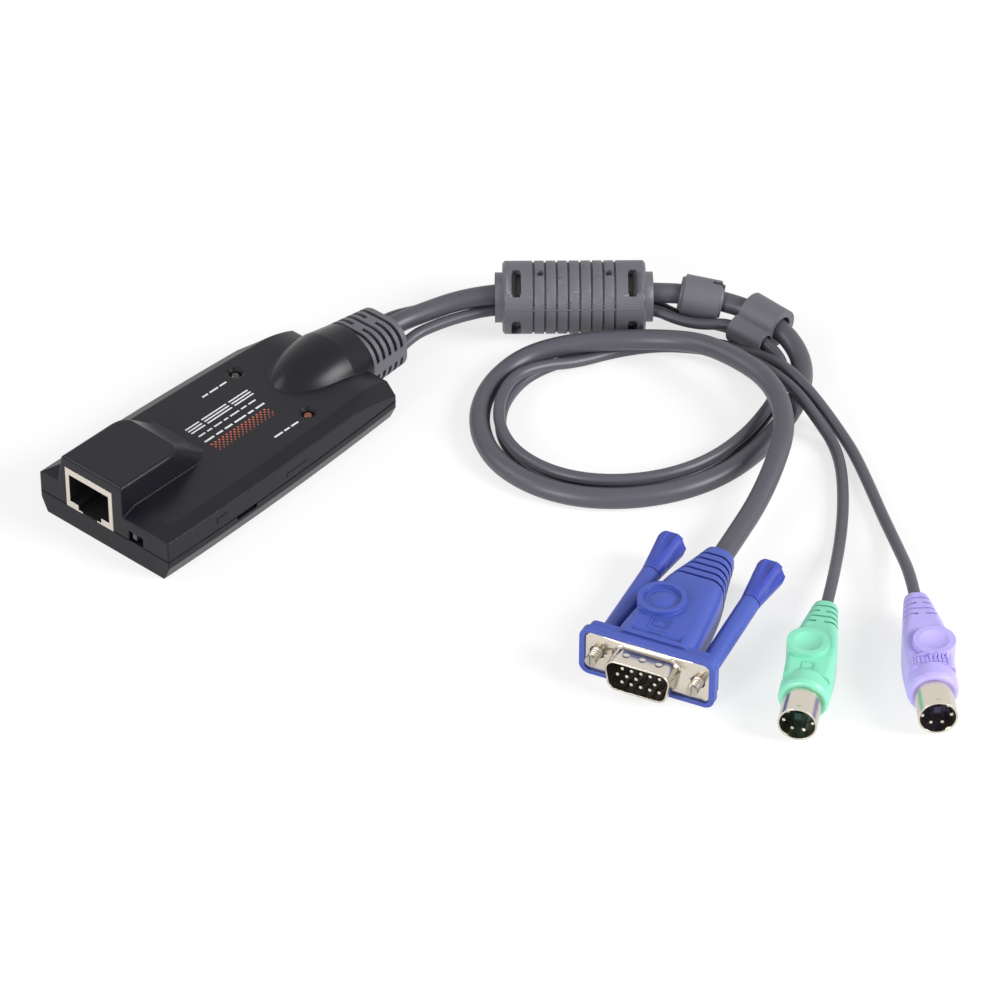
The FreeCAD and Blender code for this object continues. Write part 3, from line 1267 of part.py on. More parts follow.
keyboard_route = cord("keyboard_cable", S.thin_cable_diameter, [
    (55.35, 5.0, 7.2), (61.8, 4.9, 7.2), (69.0, 2.0, 6.8), (75.2, -2.0, 6.8), (83.7, -8.8, 6.85),
    (93.7, -19.6, 6.75), (102.7, -29.7, 6.65), (111.4, -39.5, 6.3), (114.4, -45.2, 2.8),
    (117.0, -51.0, 1.8), (119.85, -58.8, 3.05), (119.7, -70.8, 2.65), (117.4, -76.9, 1.6),
    (113.2, -80.2, 1.45), (106.3, -84.1, 1.45), (96.2, -87.4, 1.45), (85.1, -89.5, 1.45), (73.4, -89.3, 1.45),
    (62.8, -85.8, 1.45), (53.8, -79.5, 1.45), (47.2, -71.0, 1.45), (44.4, -61.3, 1.45), (45.4, -51.6, 1.45),
    (50.2, -42.9, 1.45), (58.0, -36.3, 1.45), (67.8, -32.7, 1.45), (77.4, -32.5, 1.45), (86.3, -36.4, 1.45),
    (94.1, -42.8, 1.45), (99.5, -51.0, 1.45), (104.9, -59.6, 1.45), (110.6, -67.6, 2.0), (111.4, -75.8, 5.4),
    (110.0, -83.0, 8.6), (107.6, -90.6, 8.4), (106.4, -98.0, 5.2), (105.2, -104.6, 1.6), (101.3, -111.6, 1.45),
    (94.6, -121.0, 1.45), (86.8, -131.4, 1.45), (78.0, -143.0, 2.6), (68.4, -153.98, 5.95),
    (61.65, -160.58, 5.95)])

# ---------------------------------------------------------------- check and write
doc.recompute()
for thing in doc.Objects:
    if "Invalid" in thing.State or "Error" in thing.State:
        raise RuntimeError(f"{thing.Label} did not build: {thing.State}")
os.makedirs("parts", exist_ok=True)
for node in nodes:
    if node.Shape.isNull() or not node.Shape.isValid():
        raise RuntimeError(f"{node.Label} has no valid shape")
    node.Shape.exportStep(f"parts/{node.Label}.step")
print(f"{len(nodes)} sub-parts written")
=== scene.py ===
import bpy
from math import cos, radians, sin
from mathutils import Matrix, Quaternion, Vector


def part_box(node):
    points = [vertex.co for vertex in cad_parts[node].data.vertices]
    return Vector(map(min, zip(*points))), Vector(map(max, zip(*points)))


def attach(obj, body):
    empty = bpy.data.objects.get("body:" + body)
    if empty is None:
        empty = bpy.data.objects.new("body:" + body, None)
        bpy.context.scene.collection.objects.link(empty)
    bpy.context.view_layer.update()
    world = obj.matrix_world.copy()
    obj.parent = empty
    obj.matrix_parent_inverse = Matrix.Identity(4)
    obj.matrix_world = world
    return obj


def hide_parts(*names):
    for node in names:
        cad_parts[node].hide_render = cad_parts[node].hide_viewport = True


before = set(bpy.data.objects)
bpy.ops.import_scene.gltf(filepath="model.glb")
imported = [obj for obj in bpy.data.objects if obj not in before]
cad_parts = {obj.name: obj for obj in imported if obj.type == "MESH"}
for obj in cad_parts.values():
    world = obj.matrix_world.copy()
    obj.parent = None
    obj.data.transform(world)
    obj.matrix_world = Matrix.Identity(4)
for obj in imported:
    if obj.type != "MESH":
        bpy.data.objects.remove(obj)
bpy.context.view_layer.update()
mm = 0.001

# ------------------------------------------------------------------ camera, lamps and floor
# A plain white studio: a pale floor under an even sky, one large soft lamp on the right that shapes the black
# case, and weaker ones in front and on the left. A long lens stands well back, so there is little perspective.
CAMERA_ROLL = 0.19
camera = bpy.data.objects.new("camera", bpy.data.cameras.new("camera"))
bpy.context.scene.collection.objects.link(camera)
look_at = Vector((32.37, -58.46, 0)) * mm
camera.location = Vector((-676.0, -677.4, 738.9)) * mm
camera.rotation_mode = "QUATERNION"
level = (look_at - camera.location).to_track_quat("-Z", "Y")
camera.rotation_quaternion = level @ Quaternion((0, 0, 1), radians(CAMERA_ROLL))
camera.data.lens = 180.36
camera.data.sensor_width = 36
bpy.context.scene.camera = camera
bpy.context.scene.view_settings.view_transform = "Standard"


def srgb(code):
    """A hex colour as the linear colour that a shader takes."""
    parts = [int(code[place:place + 2], 16) / 255 for place in (1, 3, 5)]
    return tuple(part / 12.92 if part <= 0.04045 else ((part + 0.055) / 1.055) ** 2.4 for part in parts) + (1,)


def add_node(tree, kind, inputs=None, **settings):
    """Adds a node with its settings. An input that is given a socket is linked, and any other is set."""
    made = tree.nodes.new(kind)
    for name, value in settings.items():
        setattr(made, name, value)
    for name, value in (inputs or {}).items():
        if isinstance(value, bpy.types.NodeSocket):
            tree.links.new(value, made.inputs[name])
        else:
            made.inputs[name].default_value = value
    return made


def empty_tree(owner):
    """The owner's node tree with nothing in it."""
    owner.use_nodes = True
    owner.node_tree.nodes.clear()
    return owner.node_tree


def seen_directly(tree):
    """1 where a ray comes from the camera, a mirror-like surface or glass, and 0 for the light on surfaces."""
    path = add_node(tree, "ShaderNodeLightPath")
    either = add_node(tree, "ShaderNodeMath", {0: path.outputs["Is Camera Ray"],
                                               1: path.outputs["Is Glossy Ray"]}, operation="MAXIMUM")
    return add_node(tree, "ShaderNodeMath", {0: either.outputs[0], 1: path.outputs["Is Transmission Ray"]},
                    operation="MAXIMUM").outputs[0]


world = bpy.data.worlds.new("studio_sky")
tree = empty_tree(world)
sky = add_node(tree, "ShaderNodeBackground", {"Color": srgb("#f2f3f7"), "Strength": 0.4})
white = add_node(tree, "ShaderNodeBackground", {"Color": srgb("#ffffff"), "Strength": 1.0})
mixed = add_node(tree, "ShaderNodeMixShader", {0: seen_directly(tree), 1: sky.outputs[0], 2: white.outputs[0]})
add_node(tree, "ShaderNodeOutputWorld", {"Surface": mixed.outputs[0]})
bpy.context.scene.world = world

# name, place in metres, size in metres, watts
LAMPS = [
    ("right_softbox", (0.5, -1.2, 0.66), 0.66, 24),
    ("front_softbox", (-1.15, -0.15, 0.45), 0.45, 10),
    ("left_softbox", (-0.7, 0.75, 0.8), 0.6, 5),
]
for name, place, size, power in LAMPS:
    lamp = bpy.data.objects.new(name, bpy.data.lights.new(name, "AREA"))
    lamp.data.size = size
    lamp.data.energy = power
    lamp.location = place
    lamp.rotation_euler = (look_at - lamp.location).to_track_quat("-Z", "Y").to_euler()
    bpy.context.scene.collection.objects.link(lamp)

# Where the floor is seen directly, this share of it is plain white, and the rest keeps the object's shadow.
FLOOR_GLOW = 0.7
bpy.ops.mesh.primitive_plane_add(size=8, location=(0, 0, 0))
floor = bpy.context.object
floor.name = "floor"
paper = bpy.data.materials.new("white_paper_floor")
tree = empty_tree(paper)
matt = add_node(tree, "ShaderNodeBsdfDiffuse", {"Color": srgb("#f7f7f7")})
glow = add_node(tree, "ShaderNodeEmission", {"Color": srgb("#ffffff"), "Strength": 1.0})
share = add_node(tree, "ShaderNodeMath", {0: seen_directly(tree), 1: FLOOR_GLOW}, operation="MULTIPLY")
mixed = add_node(tree, "ShaderNodeMixShader", {0: share.outputs[0], 1: matt.outputs[0], 2: glow.outputs[0]})
add_node(tree, "ShaderNodeOutputMaterial", {"Surface": mixed.outputs[0]})
floor.data.materials.append(paper)

# ------------------------------------------------------------------ three cables
# Soft PVC jackets over stranded wire: a thick cable to the video plug and two thin ones to the round plugs.
# They leave the strain relief together, run through the ferrite and the collars, and lie in one loose loop.
VIDEO_CABLE = 5.1
THIN_CABLE = 2.85

# A mould's own grain is 0.03 to 0.05 mm across, too fine to show, so each grain is drawn 5 to 20 times coarser.
# A surface's faint light and dark patches lie this far apart, in millimetres, and its roughness wanders by this
# much either way with them.
PATCH_SIZE = 14
ROUGHNESS_DRIFT = 0.05
EDGE_SAMPLES = 8


def soft_surface(name, colour, roughness, grain, depth, edge=0.0, spread=0.12, specular=0.5):
    """A matt or satin moulded surface. grain is its texture's size and depth its height, edge the radius that
    its edges are softened to, all in millimetres; spread is how far the colour drifts between light and dark."""
    material = bpy.data.materials.new(name)
    tree = empty_tree(material)
    place = add_node(tree, "ShaderNodeTexCoord").outputs["Object"]
    cloud = add_node(tree, "ShaderNodeTexNoise", {"Vector": place, "Scale": 1 / (PATCH_SIZE * mm), "Detail": 3.0})
    dark = tuple(part * (1 - spread) for part in srgb(colour)[:3]) + (1,)
    light = tuple(min(1, part * (1 + spread)) for part in srgb(colour)[:3]) + (1,)
    drift = add_node(tree, "ShaderNodeMix", {"Factor": cloud.outputs["Fac"], "A": dark, "B": light},
                     data_type="RGBA")
    pits = add_node(tree, "ShaderNodeTexNoise", {"Vector": place, "Scale": 1 / (grain * mm), "Detail": 2.0})
    height = {"Height": pits.outputs["Fac"], "Strength": 0.5, "Distance": depth * mm}
    if edge:
        height["Normal"] = add_node(tree, "ShaderNodeBevel", {"Radius": edge * mm}, samples=EDGE_SAMPLES).outputs[0]
    bump = add_node(tree, "ShaderNodeBump", height)
    rub = add_node(tree, "ShaderNodeMapRange", {"Value": cloud.outputs["Fac"], "To Min": roughness - ROUGHNESS_DRIFT,
                                                "To Max": roughness + ROUGHNESS_DRIFT})
    shader = add_node(tree, "ShaderNodeBsdfPrincipled", {
        "Base Color": drift.outputs["Result"], "Roughness": rub.outputs[0], "Normal": bump.outputs[0],
        "Specular IOR Level": specular})
    add_node(tree, "ShaderNodeOutputMaterial", {"Surface": shader.outputs[0]})
    return material


# Extruded flexible PVC: satin grey, with a faint orange-peel skin that breaks up the light along each cable.
cable_jacket = soft_surface("extruded_grey_pvc", "#46454d", 0.42, 0.6, 0.02, specular=0.45)


def cable(name, diameter, points):
    """A smooth round cable through its control points, in millimetres."""
    curve = bpy.data.curves.new(name, "CURVE")
    curve.dimensions = "3D"
    curve.resolution_u = 12
    curve.bevel_depth = diameter / 2 * mm
    curve.bevel_resolution = 7
    curve.use_fill_caps = True
    spline = curve.splines.new("NURBS")
    spline.points.add(len(points) - 1)
    for control, point in zip(spline.points, points):
        control.co = (*(Vector(point) * mm), 1)
    spline.order_u = 3
    spline.use_endpoint_u = True
    curve.materials.append(cable_jacket)
    made = bpy.data.objects.new(name, curve)
    bpy.context.scene.collection.objects.link(made)
    return made


# Each route's control points in millimetres, from the strain relief to the plug.
video_route = [
    (55.35, 0.8, 8.4), (61.5, 0.3, 8.3), (69.0, -2.5, 8.9), (76.0, -6.1, 10.0), (83.2, -11.9, 10.9),
    (92.5, -20.8, 10.9), (101.8, -31.2, 10.8), (110.2, -41.2, 10.7), (116.1, -46.7, 9.8),
    (121.6, -54.6, 8.2), (124.3, -61.8, 7.1), (124.0, -70.5, 6.2), (121.8, -77.8, 4.4), (117.0, -83.6, 2.8),
    (108.5, -88.8, 2.6), (97.5, -92.4, 2.6), (85.5, -94.6, 2.6), (72.5, -94.4, 2.6), (60.5, -90.4, 2.6),
    (50.2, -83.2, 2.6), (42.6, -73.4, 2.6), (39.2, -61.8, 2.6), (40.4, -50.0, 2.6), (46.2, -39.6, 2.6),
    (55.4, -31.8, 2.6), (66.8, -27.6, 2.6), (77.24, -28.44, 3.6), (85.82, -34.96, 5.5),
    (94.14, -42.89, 5.8), (100.24, -51.39, 6.8), (103.49, -61.67, 9.0), (102.72, -73.02, 10.7),
    (101.4, -83.6, 10.8), (96.0, -93.2, 10.6), (87.8, -100.6, 9.8), (77.5, -105.6, 7.8),
    (66.0, -109.9, 5.9), (52.3, -114.44, 6.5), (42.75, -117.3, 6.5)]
mouse_route = [
    (55.35, -5.0, 5.6), (61.2, -4.0, 6.2), (68.0, -6.0, 6.8), (74.5, -8.6, 7.1), (82.6, -12.6, 6.9),
    (91.5, -22.2, 6.75), (100.8, -32.3, 6.65), (109.1, -41.7, 6.6), (111.2, -47.4, 5.0),
    (113.9, -53.2, 4.6), (118.4, -59.5, 5.65), (118.2, -70.6, 5.1), (116.3, -76.6, 4.7),
    (112.6, -80.5, 4.6), (106.5, -84.5, 4.6), (96.3, -87.8, 4.6), (85.1, -89.9, 4.6), (73.3, -89.7, 4.6),
    (62.6, -86.2, 4.6), (53.5, -79.8, 4.6), (46.9, -71.2, 4.6), (44.0, -61.4, 4.6), (45.0, -51.4, 4.6),
    (49.9, -42.6, 4.6), (57.8, -35.9, 4.6), (67.36, -32.3, 4.65), (75.25, -34.23, 4.2), (83.9, -38.5, 2.4),
    (94.43, -41.89, 1.45), (102.24, -48.89, 2.4), (107.68, -57.54, 3.0), (111.05, -66.57, 3.4),
    (109.94, -76.25, 5.4), (105.3, -86.3, 8.7), (103.3, -93.3, 8.3), (102.2, -99.5, 5.0),
    (101.0, -105.6, 1.6), (94.3, -113.4, 1.45), (83.2, -122.6, 1.45), (72.6, -130.0, 1.45),
    (62.6, -136.4, 3.4), (53.17, -142.35, 5.95), (45.34, -146.78, 5.95)]
keyboard_route = [
    (55.35, 5.0, 7.2), (61.8, 4.9, 7.2), (69.0, 2.0, 6.8), (75.2, -2.0, 6.8), (83.7, -8.8, 6.85),
    (93.7, -19.6, 6.75), (102.7, -29.7, 6.65), (111.4, -39.5, 6.3), (114.4, -45.2, 3.4),
    (117.0, -51.0, 2.8), (119.85, -58.8, 3.05), (119.7, -70.8, 2.65), (117.4, -76.9, 1.6),
    (113.2, -80.2, 1.45), (106.3, -84.1, 1.45), (96.2, -87.4, 1.45), (85.1, -89.5, 1.45),
    (73.4, -89.3, 1.45), (62.8, -85.8, 1.45), (53.8, -79.5, 1.45), (47.2, -71.0, 1.45), (44.4, -61.3, 1.45),
    (45.4, -51.6, 1.45), (50.2, -42.9, 1.45), (58.0, -36.3, 1.45), (67.8, -32.7, 1.45),
    (76.97, -32.77, 1.45), (86.46, -36.43, 1.45), (97.15, -40.24, 1.45), (106.14, -46.3, 1.45),
    (111.92, -54.74, 1.45), (115.68, -63.52, 1.5), (114.07, -73.28, 4.4), (110.0, -83.0, 8.6),
    (107.6, -90.6, 8.4), (106.4, -98.0, 5.2), (105.2, -104.6, 1.6), (101.3, -111.6, 1.45),
    (94.6, -121.0, 1.45), (86.8, -131.4, 1.45), (78.0, -143.0, 2.6), (68.4, -153.98, 5.95),
    (61.65, -160.58, 5.95)]
video_cable = cable("video_cable_jacket", VIDEO_CABLE, video_route)
mouse_cable = cable("mouse_cable_jacket", THIN_CABLE, mouse_route)
keyboard_cable = cable("keyboard_cable_jacket", THIN_CABLE, keyboard_route)
for piece, cad_node in ((video_cable, "video_cable"), (mouse_cable, "mouse_cable"),
                        (keyboard_cable, "keyboard_cable")):
    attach(piece, "adapter")
    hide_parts(cad_node)

# ------------------------------------------------------------------ case
# Two snapped shells of black ABS with a fine spark-eroded grain: satin on the flats, with softer, slightly
# lighter edges where the grain catches the light. A fine line of painted shade runs round where they meet, and
# two snap arms show as outlines of painted shade on the right side.
def coat(material, *names):
    """Gives CAD nodes their finish."""
    for name in names:
        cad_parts[name].material_slots[0].material = material


# Moulded ABS: almost black with a touch of blue, and satin, so that slopes and edges read as soft grey bands.
case_plastic = soft_surface("grained_black_abs", "#16151b", 0.3, 0.3, 0.008, edge=0.6, specular=0.2)
coat(case_plastic, "upper_case", "lower_case")


def deselect():
    """Nothing selected, and no object being edited."""
    if bpy.context.object and bpy.context.object.mode != "OBJECT":
        bpy.ops.object.mode_set(mode="OBJECT")
    bpy.ops.object.select_all(action="DESELECT")


def take(piece):
    """Only this piece selected and active."""
    deselect()
    piece.select_set(True)
    bpy.context.view_layer.objects.active = piece


def new_mesh(name):
    """A new piece with an empty mesh, in edit mode, for primitives to be added to."""
    deselect()
    bpy.ops.mesh.primitive_plane_add(size=1)
    piece = bpy.context.object
    piece.name = name
    bpy.ops.object.mode_set(mode="EDIT")
    bpy.ops.mesh.select_all(action="SELECT")
    bpy.ops.mesh.delete(type="VERT")
    return piece


def apply_modifier(piece, kind, **settings):
    """Adds a modifier with its settings and makes it part of the mesh."""
    take(piece)
    modifier = piece.modifiers.new(kind.lower(), kind)
    for name, value in settings.items():
        setattr(modifier, name, value)
    bpy.ops.object.modifier_apply(modifier=modifier.name)


def flat_bars(bars, rounding=0.0):
    """Adds flat bars (x from, x to, y from, y to) in millimetres to the piece being edited."""
    for left, right, low, high in bars:
        bpy.ops.mesh.select_all(action="DESELECT")
        bpy.ops.mesh.primitive_plane_add(size=1, location=((left + right) / 2 * mm, (low + high) / 2 * mm, 0))
        bpy.ops.transform.resize(value=((right - left) * mm, (high - low) * mm, 1))
        if rounding:
            bpy.ops.mesh.bevel(offset=rounding * mm, segments=3, affect="VERTICES")


def drop_onto(piece, node, axis, lift):
    """Lays a flat mesh along an axis against a CAD node's skin, lift millimetres proud of it."""
    bpy.ops.object.mode_set(mode="OBJECT")
    along = {f"use_project_{letter}": letter == axis for letter in "xyz"}
    apply_modifier(piece, "SHRINKWRAP", target=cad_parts[node], wrap_method="PROJECT",
                   wrap_mode="ABOVE_SURFACE", use_negative_direction=True, use_positive_direction=True,
                   offset=lift * mm, **along)


def finish_piece(piece, material, body):
    """The material, body and slot of a finished piece."""
    piece.data.materials.clear()
    piece.data.materials.append(material)
    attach(piece, body)


def joined_copy(name, node):
    """A copy of a CAD node's mesh with its loose triangles joined."""
    copied = bpy.data.objects.new(name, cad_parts[node].data.copy())
    bpy.context.scene.collection.objects.link(copied)
    take(copied)
    bpy.ops.object.mode_set(mode="EDIT")
    bpy.ops.mesh.select_all(action="SELECT")
    bpy.ops.mesh.remove_doubles(threshold=0.001 * mm)
    bpy.ops.object.mode_set(mode="OBJECT")
    return copied


CRISP_EDGE = 32


def smooth_moulding(piece):
    """Round faces shade smoothly, flat ones stay flat, and edges sharper than CRISP_EDGE degrees stay crisp."""
    take(piece)
    bpy.ops.object.shade_smooth_by_angle(angle=radians(CRISP_EDGE))
    apply_modifier(piece, "WEIGHTED_NORMAL", keep_sharp=True)


# The line of the joint is a dark skin over the lowest strip of the lid's outer walls, a hair proud of them. It
# is dull and almost black, as a narrow gap that no light gets into.
SEAM_HEIGHT = 5.6
SEAM_GAP = 0.26
SKIN_LIFT = 0.015
FACES_UP_OR_DOWN = 0.9
joint_shadow = soft_surface("shadow_in_a_joint", "#060607", 0.9, 1.0, 0.001, spread=0.01, specular=0.0)
seam_line = joined_copy("case_seam_line", "upper_case")
bpy.ops.object.mode_set(mode="EDIT")
bpy.ops.mesh.select_all(action="SELECT")
bpy.ops.mesh.bisect(plane_co=(0, 0, (SEAM_HEIGHT + SEAM_GAP) * mm), plane_no=(0, 0, 1), clear_outer=True)
bpy.ops.mesh.select_mode(type="FACE")
bpy.ops.mesh.select_all(action="DESELECT")
bpy.ops.object.mode_set(mode="OBJECT")
for face in seam_line.data.polygons:
    outward = face.normal.x * face.center.x + face.normal.y * face.center.y
    face.select = outward < 0 or abs(face.normal.z) > FACES_UP_OR_DOWN
bpy.ops.object.mode_set(mode="EDIT")
bpy.ops.mesh.delete(type="FACE")
bpy.ops.mesh.select_all(action="SELECT")
bpy.ops.transform.shrink_fatten(value=SKIN_LIFT * mm)
bpy.ops.object.mode_set(mode="OBJECT")
finish_piece(seam_line, joint_shadow, "adapter")

# Each snap arm's outline is a dark strip of painted shade, standing for the shadow in a groove along its top
# edge and down its front edge. Each bar: x from, x to, z from, z to.
SNAP_OUTLINES = [
    (-25.6, -22.0, 9.0, 9.2), (-25.75, -25.55, 7.4, 9.2), (-1.1, 6.2, 7.9, 8.1), (-1.25, -1.05, 7.0, 8.1)]
CLEAR_OF_THE_SIDE = -30
OUTLINE_SHADE_LIFT = 0.02
snap_lines = new_mesh("snap_arm_outlines")
flat_bars(SNAP_OUTLINES)
bpy.ops.mesh.select_all(action="SELECT")
bpy.ops.mesh.subdivide(number_cuts=3)
bpy.ops.object.mode_set(mode="OBJECT")
snap_lines.rotation_euler.x = radians(90)
snap_lines.location.y = CLEAR_OF_THE_SIDE * mm
bpy.ops.object.transform_apply()
# The strips of painted shade lie a hair proud of the lid's side.
drop_onto(snap_lines, "upper_case", "y", OUTLINE_SHADE_LIFT)
finish_piece(snap_lines, joint_shadow, "adapter")

# ------------------------------------------------------------------ print on the case
# Pad-printed ink, a hair thick: plain white stripes where a maker sets words, and a patch of small orange dots
# in staggered rows.
PRINT_LIFT = 0.01
PRINT_THICKNESS = 0.03
PRINT_ROUNDING = 0.1
# The lamps' lenses sit this little below the case's top.
LENS_DROP = 0.35
case_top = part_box("led_online")[1].z + LENS_DROP * mm


def words(start, end, low, high, lengths, gap):
    """A line of print as bars, with these relative lengths and gap, from start to end."""
    scale = (end - start) / (sum(lengths) + gap * (len(lengths) - 1))
    bars = []
    for length in lengths:
        bars.append((start, start + length * scale, low, high))
        start += (length + gap) * scale
    return bars


def print_ink(name, colour):
    """Printing ink: opaque and satin, thinner in places so that the plastic dulls it."""
    return soft_surface(name, colour, 0.5, 0.2, 0.004, spread=0.06)


def lay_print(piece, ink):
    """Gives flat print its thickness and lays it on the case's top."""
    bpy.ops.object.mode_set(mode="OBJECT")
    apply_modifier(piece, "SOLIDIFY", thickness=PRINT_THICKNESS * mm, offset=1)
    piece.location.z = case_top + PRINT_LIFT * mm
    bpy.ops.object.transform_apply()
    finish_piece(piece, ink, "adapter")


# Each line: x from, x to, y from, y to, the bars' relative lengths and the gap between them. Three stripes, two
# finer lines under them, and one line beside each lamp.
PRINTED_LINES = [(-9.35, 12.15, foot, foot + 0.42, [5, 9, 7], 0.9) for foot in (2.75, 3.75, 4.75)] + [
    (-9.05, 10.65, 0.6, 1.05, [2.2, 1.6, 2.6, 1.4, 3, 1.8, 2.4], 0.7),
    (-9.55, 11.05, -1.95, -1.4, [2.8, 1.9, 2.2, 3.4, 1.6, 2.6], 0.7),
    (2.85, 11.15, 10.8, 11.3, [2, 3, 2.4], 0.6),
    (2.85, 11.05, -13.1, -12.6, [3, 2, 2.6], 0.6)]
bars_print = new_mesh("white_print")
for line in PRINTED_LINES:
    flat_bars(words(*line), PRINT_ROUNDING)
lay_print(bars_print, print_ink("white_printing_ink", "#d6d6d8"))

DOT_ROWS = 5
DOTS_IN_A_ROW = 15
DOT_PITCH = 1.3
ROW_PITCH = 0.72
FIRST_DOT = (-9.1, -3.5)
LARGEST_DOT = 0.3
DOTS_SHRINK = 0.03
dots_print = new_mesh("orange_dots_print")
for row in range(DOT_ROWS):
    for column in range(DOTS_IN_A_ROW):
        along = FIRST_DOT[0] + column * DOT_PITCH + (row % 2) * DOT_PITCH / 2
        across = FIRST_DOT[1] - row * ROW_PITCH
        bpy.ops.mesh.primitive_circle_add(vertices=10, radius=(LARGEST_DOT - DOTS_SHRINK * row) * mm,
                                          fill_type="NGON", location=(along * mm, across * mm, 0))
lay_print(dots_print, print_ink("orange_printing_ink", "#b8563a"))

# ------------------------------------------------------------------ lamps on the case
# Round 3 mm lenses of tinted epoxy in shallow wells: green for the link and orange-red for the power.
def tinted_lens(name, colour):
    """Cast epoxy: glossy, with the colour deep in it."""
    return soft_surface(name, colour, 0.14, 0.8, 0.02, spread=0.5, specular=0.6)


# Unlit, so the green one looks nearly black and the orange one a dull brown-red.
coat(tinted_lens("green_epoxy_lens", "#2c3426"), "led_online")
coat(tinted_lens("orange_epoxy_lens", "#70381c"), "led_power")


# ------------------------------------------------------------------ network jack
# A tin-plated steel shield folded round a black insert, with eight gold-plated spring contacts.
WAVE_HEIGHT = 0.006


def plated_metal(name, colour, roughness, grain, edge=0.0):
    """Plated sheet or wire: grain is the size of its faint waviness, edge its softened edges, in millimetres. The
    waves are a few microns high, as a plated face has them."""
    material = bpy.data.materials.new(name)
    tree = empty_tree(material)
    place = add_node(tree, "ShaderNodeTexCoord").outputs["Object"]
    wave = add_node(tree, "ShaderNodeTexNoise", {"Vector": place, "Scale": 1 / (grain * mm), "Detail": 3.0})
    rub = add_node(tree, "ShaderNodeMapRange", {"Value": wave.outputs["Fac"], "To Min": roughness - 0.03,
                                                "To Max": roughness + 0.04})
    height = {"Height": wave.outputs["Fac"], "Strength": 0.2, "Distance": WAVE_HEIGHT * mm}
    if edge:
        height["Normal"] = add_node(tree, "ShaderNodeBevel", {"Radius": edge * mm}, samples=EDGE_SAMPLES).outputs[0]
    bump = add_node(tree, "ShaderNodeBump", height)
    shader = add_node(tree, "ShaderNodeBsdfPrincipled", {
        "Base Color": srgb(colour), "Metallic": 1.0, "Roughness": rub.outputs[0], "Normal": bump.outputs[0]})
    add_node(tree, "ShaderNodeOutputMaterial", {"Surface": shader.outputs[0]})
    return material


# Tin: pale, slightly warm and half matt. Gold over nickel: yellow glints deep in the jack. Nylon: a dull black.
tin_plate = plated_metal("tin_plated_steel", "#d8d0c4", 0.32, 2.0, edge=0.08)
gold_plate = plated_metal("gold_plated_contacts", "#d9b25a", 0.25, 1.0)
coat(tin_plate, "jack_shield")
coat(gold_plate, "jack_contacts")
coat(soft_surface("black_nylon_insert", "#101012", 0.5, 0.4, 0.01), "jack_insert")

# ------------------------------------------------------------------ slide switch
# A small slide switch behind its window: a matt black nylon body, and a lighter, smoother lever that a fingertip
# moves.
coat(soft_surface("switch_body_nylon", "#141416", 0.5, 0.4, 0.01), "switch_body")
coat(soft_surface("switch_lever_nylon", "#3a3a3e", 0.45, 0.4, 0.01, edge=0.1), "switch_lever")

# ------------------------------------------------------------------ inside the case
# A green glass-fibre board with its packages, crystal, capacitors and the wires to the cables, all closed in.
# Solder mask is a semi-gloss green, moulded epoxy and nylon are a dull black, the cans of the crystal and the
# capacitors are drawn metal, and the wires' PVC is a satin red-brown.
coat(soft_surface("green_solder_mask", "#1f5a35", 0.35, 1.0, 0.005), "circuit_board")
coat(soft_surface("black_epoxy_package", "#1c1c1e", 0.5, 0.2, 0.01), "controller_chip", "video_driver_chip")
coat(plated_metal("drawn_nickel_can", "#b9bbc0", 0.25, 1.5), "crystal_can")
coat(plated_metal("aluminium_capacitor_can", "#c4c6ca", 0.3, 1.5), "capacitors")
coat(soft_surface("black_nylon_header", "#141416", 0.5, 0.4, 0.01), "wire_header")
coat(soft_surface("brown_wire_insulation", "#8c3b2e", 0.45, 0.5, 0.01), "signal_wires")

# ------------------------------------------------------------------ strain relief, ferrite and collars
# Overmoulded grey PVC: the slotted strain relief, the fluted cover that hides the ferrite, and two short
# collars that gather the cables. A little lighter and duller than the cables' own jackets.

# Moulded PVC: matt mid grey, with a slightly pebbled face. Ferrite: fired ceramic, dull and nearly black.
moulded_pvc = soft_surface("moulded_grey_pvc", "#56555c", 0.5, 0.35, 0.02, edge=0.15)
coat(moulded_pvc, "strain_relief_boot", "small_collar", "double_collar")
ferrite_ceramic = soft_surface("black_ferrite_ceramic", "#1d1d1f", 0.6, 0.2, 0.01)
coat(ferrite_ceramic, "ferrite_core")

# The cover's end slots are round-ended windows down to the ferrite, and the mould has left a fine ridge along
# each side. Places are in the ferrite's own frame, with X along it and angles from +Y towards +Z.
FERRITE_MIDDLE = (97.2, -25.93, 9.1)
FERRITE_TURN = -48
FERRITE_ROLL = -15
FERRITE_SKIN = 9.1
SLOT_ANGLES = (45, 135, 225, 315)
SLOT_PLACE = 14.4
SLOT_END_RADIUS = 1.2
SLOT_HALF_STRAIGHT = 2.5
SLOT_FLOOR = 6.6
CUTTER_DEPTH = 4
RIDGE_SIZE = (34.0, 0.36, 0.3)
RIDGE_ROUNDING = 0.1
ferrite_frame = Matrix.Translation(Vector(FERRITE_MIDDLE) * mm) @ Matrix.Rotation(radians(FERRITE_TURN), 4, "Z")
ferrite_frame = ferrite_frame @ Matrix.Rotation(radians(FERRITE_ROLL), 4, "X")


def set_in_ferrite(piece, angle, along):
    """Moves a piece modelled on the Z axis to this angle and distance along the ferrite."""
    turned = Matrix.Rotation(radians(angle - 90), 4, "X")
    bpy.ops.object.mode_set(mode="OBJECT")
    piece.matrix_world = ferrite_frame @ Matrix.Translation((along * mm, 0, 0)) @ turned
    take(piece)
    bpy.ops.object.transform_apply()


